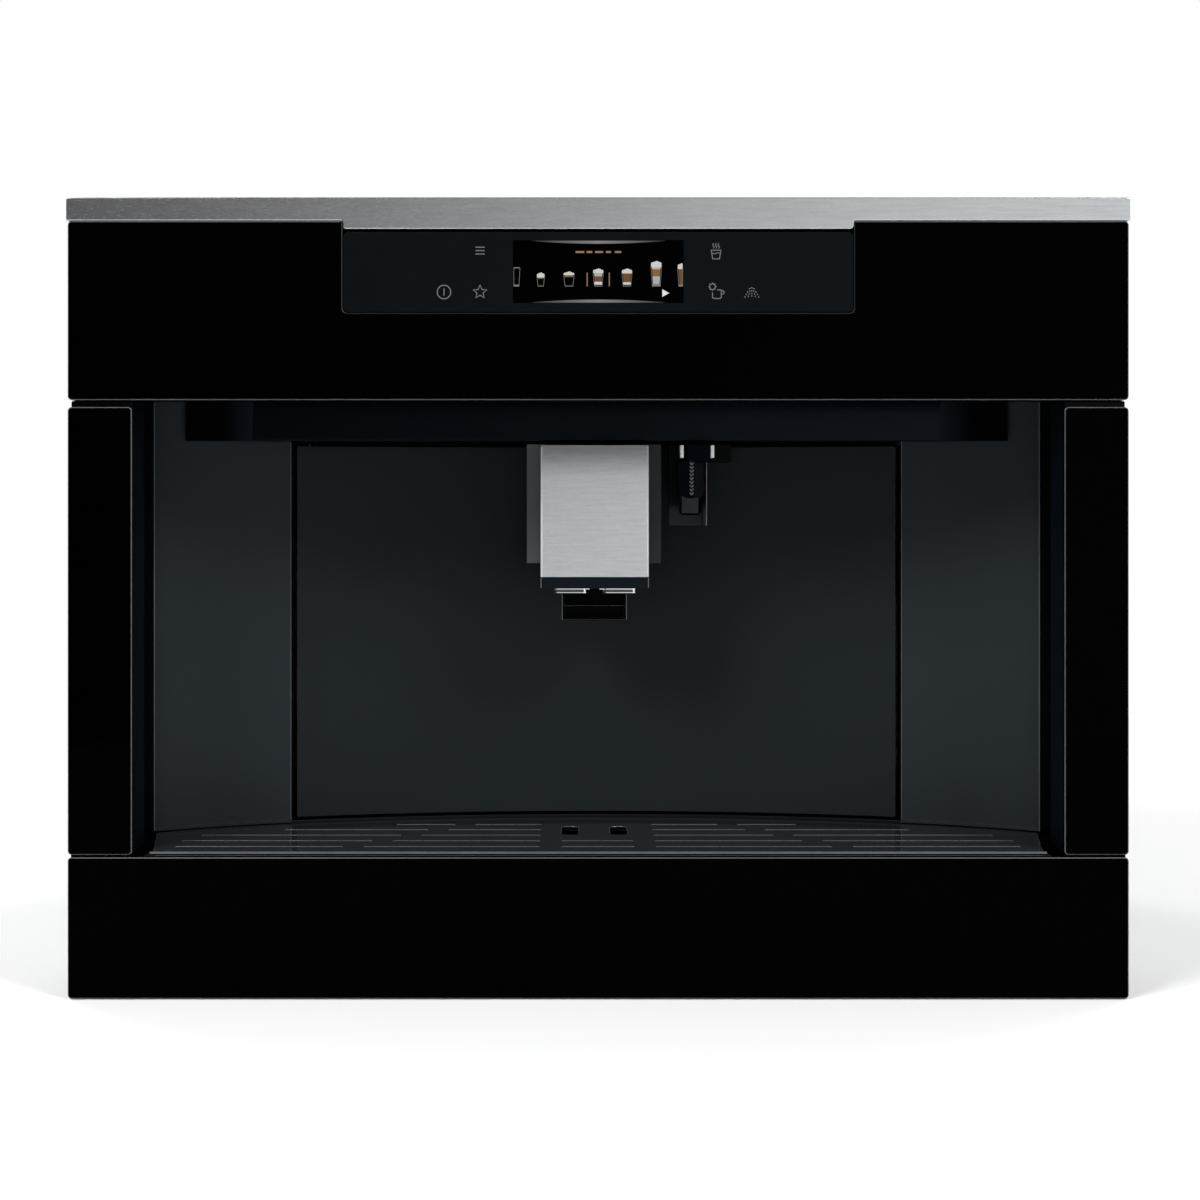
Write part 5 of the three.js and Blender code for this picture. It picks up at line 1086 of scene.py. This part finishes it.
def cup_grille():
    """Glossy plate with slots and two drip holes, each with a bright ground rim."""
    _, half, y0, _, z0, z1 = span("cup_grille")
    holes = []
    for index, (deep, outer, bridge) in enumerate(SLOT_ROWS):
        low, high = FRONT + deep - SLOT_HALF, FRONT + deep + SLOT_HALF
        bars = [(SLOT_INNER_END, bridge - SLOT_BRIDGE_HALF), (bridge + SLOT_BRIDGE_HALF, outer)]
        for a, b in bars:
            holes += [rect(a, b, low, high), rect(-b, -a, low, high)]
        if index > 2:
            holes.append(rect(-MIDDLE_SLOT_HALF, MIDDLE_SLOT_HALF, low, high))
    holes = [fillet(hole, 1.4) for hole in holes]
    wide, deep = DRIP_HOLE_HALF
    middle = FRONT + DRIP_HOLE_DEPTH
    for node in ("nozzle_left", "nozzle_right"):
        x = sum(span(node)[:2]) / 2
        holes.append(fillet(rect(x - wide, x + wide, middle - deep, middle + deep), 4.6, 6))
    back = [p for p in wall_curve(-GRILLE_CLEARANCE, 60) if abs(p[0]) < half - 0.2]
    side = FRONT + WALL_FRONT - GRILLE_CLEARANCE
    corners = [(half, side), (GRILLE_FRONT_HALF, y0), (-GRILLE_FRONT_HALF, y0), (-half, side)]
    bm = bmesh.new()
    # The plate's upright sides, inside its slots and drip holes too, are painted black: painted
    # shade in the openings.
    plate(bm, fillet(corners, [0, 2, 2, 0], 5) + back, rounded(z0, z1, 0.2, 0.35), holes,
          plane="plan", edge=1, side=2)
    block(bm, -GRILLE_LIP_HALF, GRILLE_LIP_HALF, y0 - 0.3, y0 + 0.6, z1 - 1.3, z1 - 0.1, 0.25,
          face=3)
    piece("grille_plate", bm, [slate_gloss, slot_rim, black_and_painted_shade, lip_metal], "grille",
          ["cup_grille"])


# ---------------------------------------------------------------------- body and inside


def body_and_inside():
    """Nodes whose own shape stays, each with its look and the radius of its edges."""
    for node, look, edge in (
            ("front_frame", black_and_painted_shade, 0.5), ("drip_tray", black_plastic, 0.6),
            ("grounds_container", grey_plastic, 0.5), ("body_casing", sheet_steel, 0.25),
            ("rear_panel", sheet_steel, 0.25), ("top_cover", sheet_steel, 0.25),
            ("inner_chassis", black_plastic, 0.4), ("niche_base", sheet_steel, 0.3),
            ("water_tank", smoke_clear, 0.6), ("water_tank_lid", lid_grey, 0.8),
            ("bean_hopper", smoke_clear, 0.6), ("bean_lid", lid_grey, 0.9),
            ("powder_funnel", grey_plastic, 0.5), ("powder_lid", lid_grey, 0.9),
            ("grind_knob", lid_grey, 0.6), ("grinder_housing", grey_plastic, 0.5),
            ("lower_burr", sheet_steel, 0.5), ("grinder_motor", aluminium, 1.0),
            ("brew_frame", grey_plastic, 0.6), ("brew_chamber", grey_plastic, 0.8),
            ("brew_motor", aluminium, 0.8), ("boiler", aluminium, 0.6), ("pump", brass, 0.6),
            ("control_board", board_green, 0.2), ("mains_inlet", black_plastic, 0.4),
            ("power_switch", black_plastic, 0.5), ("suction_hose", silicone, 0.1),
            ("brew_hose", silicone, 0.1)):
        dressed(node, look, edge)
    dressed("power_board", [board_green, black_plastic, lamp_white, aluminium], 0.3,
            board_looks)
    for side in ("left", "right"):
        for rail in ("cabinet", "middle", "machine"):
            dressed(f"{rail}_rail_{side}", sheet_steel, 0.3)


def board_looks(bm):
    """Components of the power board in their own colours."""
    front = span("power_board")[2]
    field = 60
    for each in bm.faces:
        at = each.calc_center_median()
        if at.y < front + 11.5:
            each.material_index = 1 + (round(at.x / field) + round(at.z / field)) % 3


def screw(bm, place, radius=3.2):
    """A pan head with a round socket, its axis pointing out of the surface."""
    profile = [(0.05, 0), (radius, 0), (radius, 0.5), (0.8 * radius, 1.1),
               (0.42 * radius, 1.3), (0.38 * radius, 0.5), (0.05, 0.5)]
    lathe(bm, profile, place, 24)


def bead(bm, a0, a1, b0, b1, surface, plane, way=1):
    """A long pressed bead standing out of a sheet."""
    outline = fillet(rect(a0, a1, b0, b1), 0.45 * min(a1 - a0, b1 - b0), 6)
    levels = [(surface - way * 0.1, 0), (surface + way * 0.8, 0.8),
              (surface + way * 1.5, 2.2)]
    plate(bm, outline, levels, plane=plane)


def casing_details():
    """Screws and pressed beads of the back, the sides and the top cover."""
    _, x1, _, back, z0, z1 = span("rear_panel")
    _, edge, _, _, _, _ = span("body_casing")
    _, _, near, far, _, top = span("top_cover")
    half, middle = x1 - 9, (z0 + z1) / 2
    bm = bmesh.new()
    for x in (-half, 0, half):
        for z in (z0 + 70, middle, z1 - 10):
            screw(bm, facing(x, z, back))
    for side in (-1, 1):
        for z in (z0 + 80, middle, z1 - 12):
            for y in (FRONT + 82, back - 9):
                screw(bm, sideways(side, edge, y, z))
    for x in (-half, -half / 3, half / 3, half):
        for y in (near + 8, far - 8):
            screw(bm, upright(x, y, top))
    piece("casing_screws", bm, [screw_steel], "machine")

    wide = 14
    bm = bmesh.new()
    for z in (z0 + 215, z0 + 300, z0 + 385):
        bead(bm, -215, 215, z, z + wide, back, "front")
    for side in (-1, 1):
        for z in (z0 + 110, z0 + 190, z0 + 270):
            bead(bm, FRONT + 105, back - 40, z, z + wide, side * edge, "side", side)
    for x in (20, 50, 80):
        bead(bm, x, x + wide, near + 35, far - 35, top, "plan")
    piece("casing_beads", bm, [sheet_steel], "machine")


def lid_details():
    """Raised fields and finger ribs of the three lids."""
    for node in ("bean_lid", "powder_lid", "water_tank_lid"):
        x0, x1, y0, y1, _, top = span(node)
        tank = node == "water_tank_lid"
        if tank:
            top -= 2.6                                    # its tab stands above the lid
        margin = 0.09 * (x1 - x0)
        field = fillet(rect(x0 + margin, x1 - margin, y0 + 3 * margin, y1 - margin), 5, 6)
        bm = bmesh.new()
        plate(bm, field, [(top - 0.1, 0), (top + 0.3, 0.3), (top + 0.5, 0.9)], plane="plan")
        middle, wide = (x0 + x1) / 2, 0.16 * (x1 - x0)
        for k in range(0 if tank else 3):
            y = y0 + (0.8 + 0.55 * k) * margin
            block(bm, middle - wide, middle + wide, y, y + 1.2, top - 0.1, top + 0.7, 0.3)
        piece(node + "_field", bm, [lid_grey], body_of(node))


def knob_details():
    """Ribs and pointer of the grinding knob, and its scale from finer to coarser."""
    x, y, r, _, knob_top = round_span("grind_knob")
    top = span("top_cover")[5]
    dots, ribs = 7, 28
    bm = bmesh.new()
    for k in range(dots):
        a = math.radians(150 - 20 * k)
        dot = circle(x + (r + 5) * math.cos(a), y + (r + 5) * math.sin(a), 0.7 + 0.25 * k, 20)
        plate(bm, dot, straight(top - 0.02, top + 0.06), plane="plan")
    piece("grind_scale", bm, [black_and_painted_shade], "machine")
    bm = bmesh.new()
    for px, py in circle(x, y, 0.985 * r, ribs):
        plate(bm, circle(px, py, 0.9, 8), rounded(top + 0.6, knob_top - 0.5, 0.25),
              plane="plan")
    block(bm, x - 1.1, x + 1.1, y + 0.3 * r, y + 0.92 * r, knob_top - 0.2, knob_top + 0.4,
          0.2, face=1)
    piece("grind_knob_ribs", bm, [lid_grey, lamp_white], body_of("grind_knob"))


def band_round(bm, x, y, radius, foot, height):
    """A flat clamp ring that lies round an upright cylinder."""
    inner, edge, outer = radius - 0.3, radius + 0.7, radius + 0.9
    top = foot + height
    profile = [(inner, foot), (edge, foot), (outer, foot + 0.4), (outer, top - 0.4),
               (edge, top), (inner, top)]
    lathe(bm, profile, upright(x, y), 64)


def boiler_details():
    """Clamp rings, a thermostat with two terminals and the cover's bolts."""
    x, y, r, z0, z1 = round_span("boiler")
    y0 = span("boiler")[2]
    height = z1 - z0
    bm = bmesh.new()
    for foot in (z0 + 0.2 * height, z0 + 0.72 * height):
        band_round(bm, x, y, r, foot, 7)
        block(bm, x - 5, x + 5, y0 - 4.5, y0 + 1, foot + 0.5, foot + 6.5, 0.5)
    for px, py in circle(x, y, 0.72 * r, 6):
        screw(bm, upright(px, py, z1 - 15), 3)
    piece("boiler_bands", bm, [screw_steel], "machine")
    bm = bmesh.new()
    middle = z0 + 0.46 * height
    face, back = y0 - 4.5, y0 + 1
    cap = [(0.1, face), (8.5, face), (9, face + 0.5), (9, back), (0.1, back)]
    lathe(bm, cap, facing(x, middle), 32)
    for at in (x - 4, x + 4):
        block(bm, at - 0.4, at + 0.4, face - 4.5, face + 0.5, middle - 3, middle + 3, 0.1,
              face=1)
    piece("boiler_thermostat", bm, [black_plastic, brass], "machine")


def motor_details():
    """Cooling slots, as black strips of painted shade, and a seam ring of the grinder's motor.
    """
    x, y, r, z0, z1 = round_span("grinder_motor")
    height, slots = z1 - z0, 20
    slot = fillet(rect(-2, 2, -0.15, 0.15), 0.05, 1)
    bm = bmesh.new()
    band_round(bm, x, y, r, z0 + 0.3 * height, 2.5)
    for k in range(slots):
        a = 2 * math.pi * k / slots
        turned = [(x + (r + v) * math.cos(a) - u * math.sin(a),
                   y + (r + v) * math.sin(a) + u * math.cos(a)) for u, v in slot]
        plate(bm, turned, straight(z0 + 0.48 * height, z0 + 0.85 * height), plane="plan",
              face=1)
    piece("motor_slots", bm, [aluminium, black_and_painted_shade], "machine")


def lead_screw():
    """A round core with a left-hand thread of six starts, so a turn lifts by one lead."""
    x, y, major, z0, z1 = round_span("lead_screw")
    lead, starts, steps, margin = 25, 6, 20, 3
    minor, pitch = 0.78 * major, lead / starts
    ridge = ((0.95 * minor, -0.2 * pitch), (major, -0.1 * pitch), (major, 0.1 * pitch),
             (0.95 * minor, 0.2 * pitch))
    bm = bmesh.new()
    plate(bm, circle(x, y, minor, 32), chamfered(z0, z1, 0.4), plane="plan")
    count = int((z1 - z0 - 2 * margin) / lead * steps)
    for start in range(starts):
        rings = []
        for k in range(count + 1):
            a = 2 * math.pi * (start / starts - k / steps)
            z = z0 + margin + lead * k / steps
            rings.append([bm.verts.new((x + r * math.cos(a), y + r * math.sin(a), z + rise))
                          for r, rise in ridge])
        for low, high in zip(rings, rings[1:]):
            for k in range(len(ridge)):
                bm.faces.new((low[k - 1], low[k], high[k], high[k - 1]))
        bm.faces.new(rings[0])
        bm.faces.new(rings[-1])
    piece("lead_screw_thread", bm, [screw_steel], body_of("lead_screw"), ["lead_screw"])


def tank_marks():
    """Level marks on the tank's front, the first and the last one longer."""
    x0, _, y0, _, z0, z1 = span("water_tank")
    marks, left = 9, x0 + 12
    bm = bmesh.new()
    for k in range(marks):
        z = z0 + (0.1 + 0.8 * k / (marks - 1)) * (z1 - z0)
        long = 14 if k in (0, marks - 1) else 7
        plate(bm, rect(left, left + long, z, z + 1), straight(y0 - 0.05, y0 + 0.05))
    piece("tank_marks", bm, [lamp_white], body_of("water_tank"))


# ----------------------------------------------------------------------- light and view


def lamps():
    """Four round soft lamps, two in front and two behind."""
    aim = Vector((0, 0, 0.22))
    for name, at, power in (("key_left", (-1.5, -1.7, 2.1), 62),
                            ("key_right", (1.6, -1.6, 2.1), 50),
                            ("back_left", (-1.6, 1.8, 1.1), 26),
                            ("back_right", (1.8, 1.5, 1.1), 18)):
        data = bpy.data.lights.new(name, "AREA")
        data.shape = "DISK"
        data.size = 1.2
        data.energy = power
        obj = bpy.data.objects.new(name, data)
        obj.location = at
        obj.rotation_mode = "QUATERNION"
        obj.rotation_quaternion = (aim - Vector(at)).to_track_quat("-Z", "Y")
        bpy.context.scene.collection.objects.link(obj)


def world():
    """White behind the object, a dim studio in front of it that is lighter at its right."""
    new = bpy.data.worlds.new("studio")
    bpy.context.scene.world = new
    new.use_nodes = True
    tree = new.node_tree

    def ramp(axis, start, end, low, high):
        return ranged(tree, along(tree, axis, "Generated"), low, high, start, end, smooth=True)

    across = ramp("X", -0.31, 0.29, 0.01, 1.22)
    rise = ramp("Z", -0.05, 0.45, 1.05, 0.3)
    behind = ramp("Y", -0.1, 0.1, 0, 1)
    seen = maths(tree, "MAXIMUM", maths(tree, "MULTIPLY", across, rise), behind)
    rays = tree.nodes.new("ShaderNodeLightPath").outputs
    diffuse = rays["Is Diffuse Ray"]
    mirrored = maths(tree, "MULTIPLY", seen, maths(tree, "SUBTRACT", 1.0, diffuse))
    ambient = maths(tree, "MULTIPLY", diffuse, 0.35)
    strength = maths(tree, "MAXIMUM", maths(tree, "ADD", mirrored, ambient),
                     rays["Is Camera Ray"])
    backdrop = tree.nodes["Background"]
    backdrop.inputs["Color"].default_value = (1, 1, 1, 1)
    tree.links.new(strength, backdrop.inputs["Strength"])


def floor():
    """Pale floor that keeps the object's shadow and turns plain white further out."""
    look, tree, shader = new_look("floor_white", (0.9, 0.9, 0.9), 0.7,
                                  Specular_IOR_Level=0.1)
    nodes, links = tree.nodes, tree.links
    where = nodes.new("ShaderNodeTexCoord")
    size = nodes.new("ShaderNodeVectorMath")
    size.operation = "LENGTH"
    links.new(where.outputs["Object"], size.inputs[0])
    far = ranged(tree, size.outputs["Value"], 0, 1, 0.55, 1.1)
    rays = nodes.new("ShaderNodeLightPath").outputs
    mirrored = maths(tree, "MAXIMUM", rays["Is Glossy Ray"], rays["Is Transmission Ray"])
    seen = maths(tree, "MAXIMUM", rays["Is Camera Ray"], mirrored)
    white = nodes.new("ShaderNodeEmission")
    blend = nodes.new("ShaderNodeMixShader")
    links.new(maths(tree, "MULTIPLY", far, seen), blend.inputs[0])
    links.new(shader.outputs[0], blend.inputs[1])
    links.new(white.outputs[0], blend.inputs[2])
    links.new(blend.outputs[0], nodes["Material Output"].inputs["Surface"])
    bm = bmesh.new()
    bm.faces.new([bm.verts.new((x, y, -0.5 * MM)) for x, y in circle(0, 0, FLOOR_RADIUS, 96)])
    mesh = bpy.data.meshes.new("floor")
    bm.to_mesh(mesh)
    bm.free()
    mesh.materials.append(look)
    obj = bpy.data.objects.new("floor", mesh)
    bpy.context.scene.collection.objects.link(obj)


def camera():
    data = bpy.data.cameras.new("camera")
    data.lens = CAMERA_LENS
    data.sensor_width = 36
    data.shift_x, data.shift_y = CAMERA_SHIFT
    data.dof.use_dof = False
    obj = bpy.data.objects.new("camera", data)
    obj.location = CAMERA_AT
    obj.rotation_euler = (math.pi / 2, 0, 0)
    bpy.context.scene.collection.objects.link(obj)
    bpy.context.scene.camera = obj


camera()
world()
floor()
lamps()
bpy.context.scene.view_settings.view_transform = "Standard"

front_glasses()
top_trim()
control_panel()
touch_symbols()
screen()
cup_space()
spout_cover()
spout_body()
spout_outlets()
hot_water()
cup_grille()
body_and_inside()
casing_details()
lid_details()
knob_details()
boiler_details()
motor_details()
lead_screw()
tank_marks()
door_ribs()
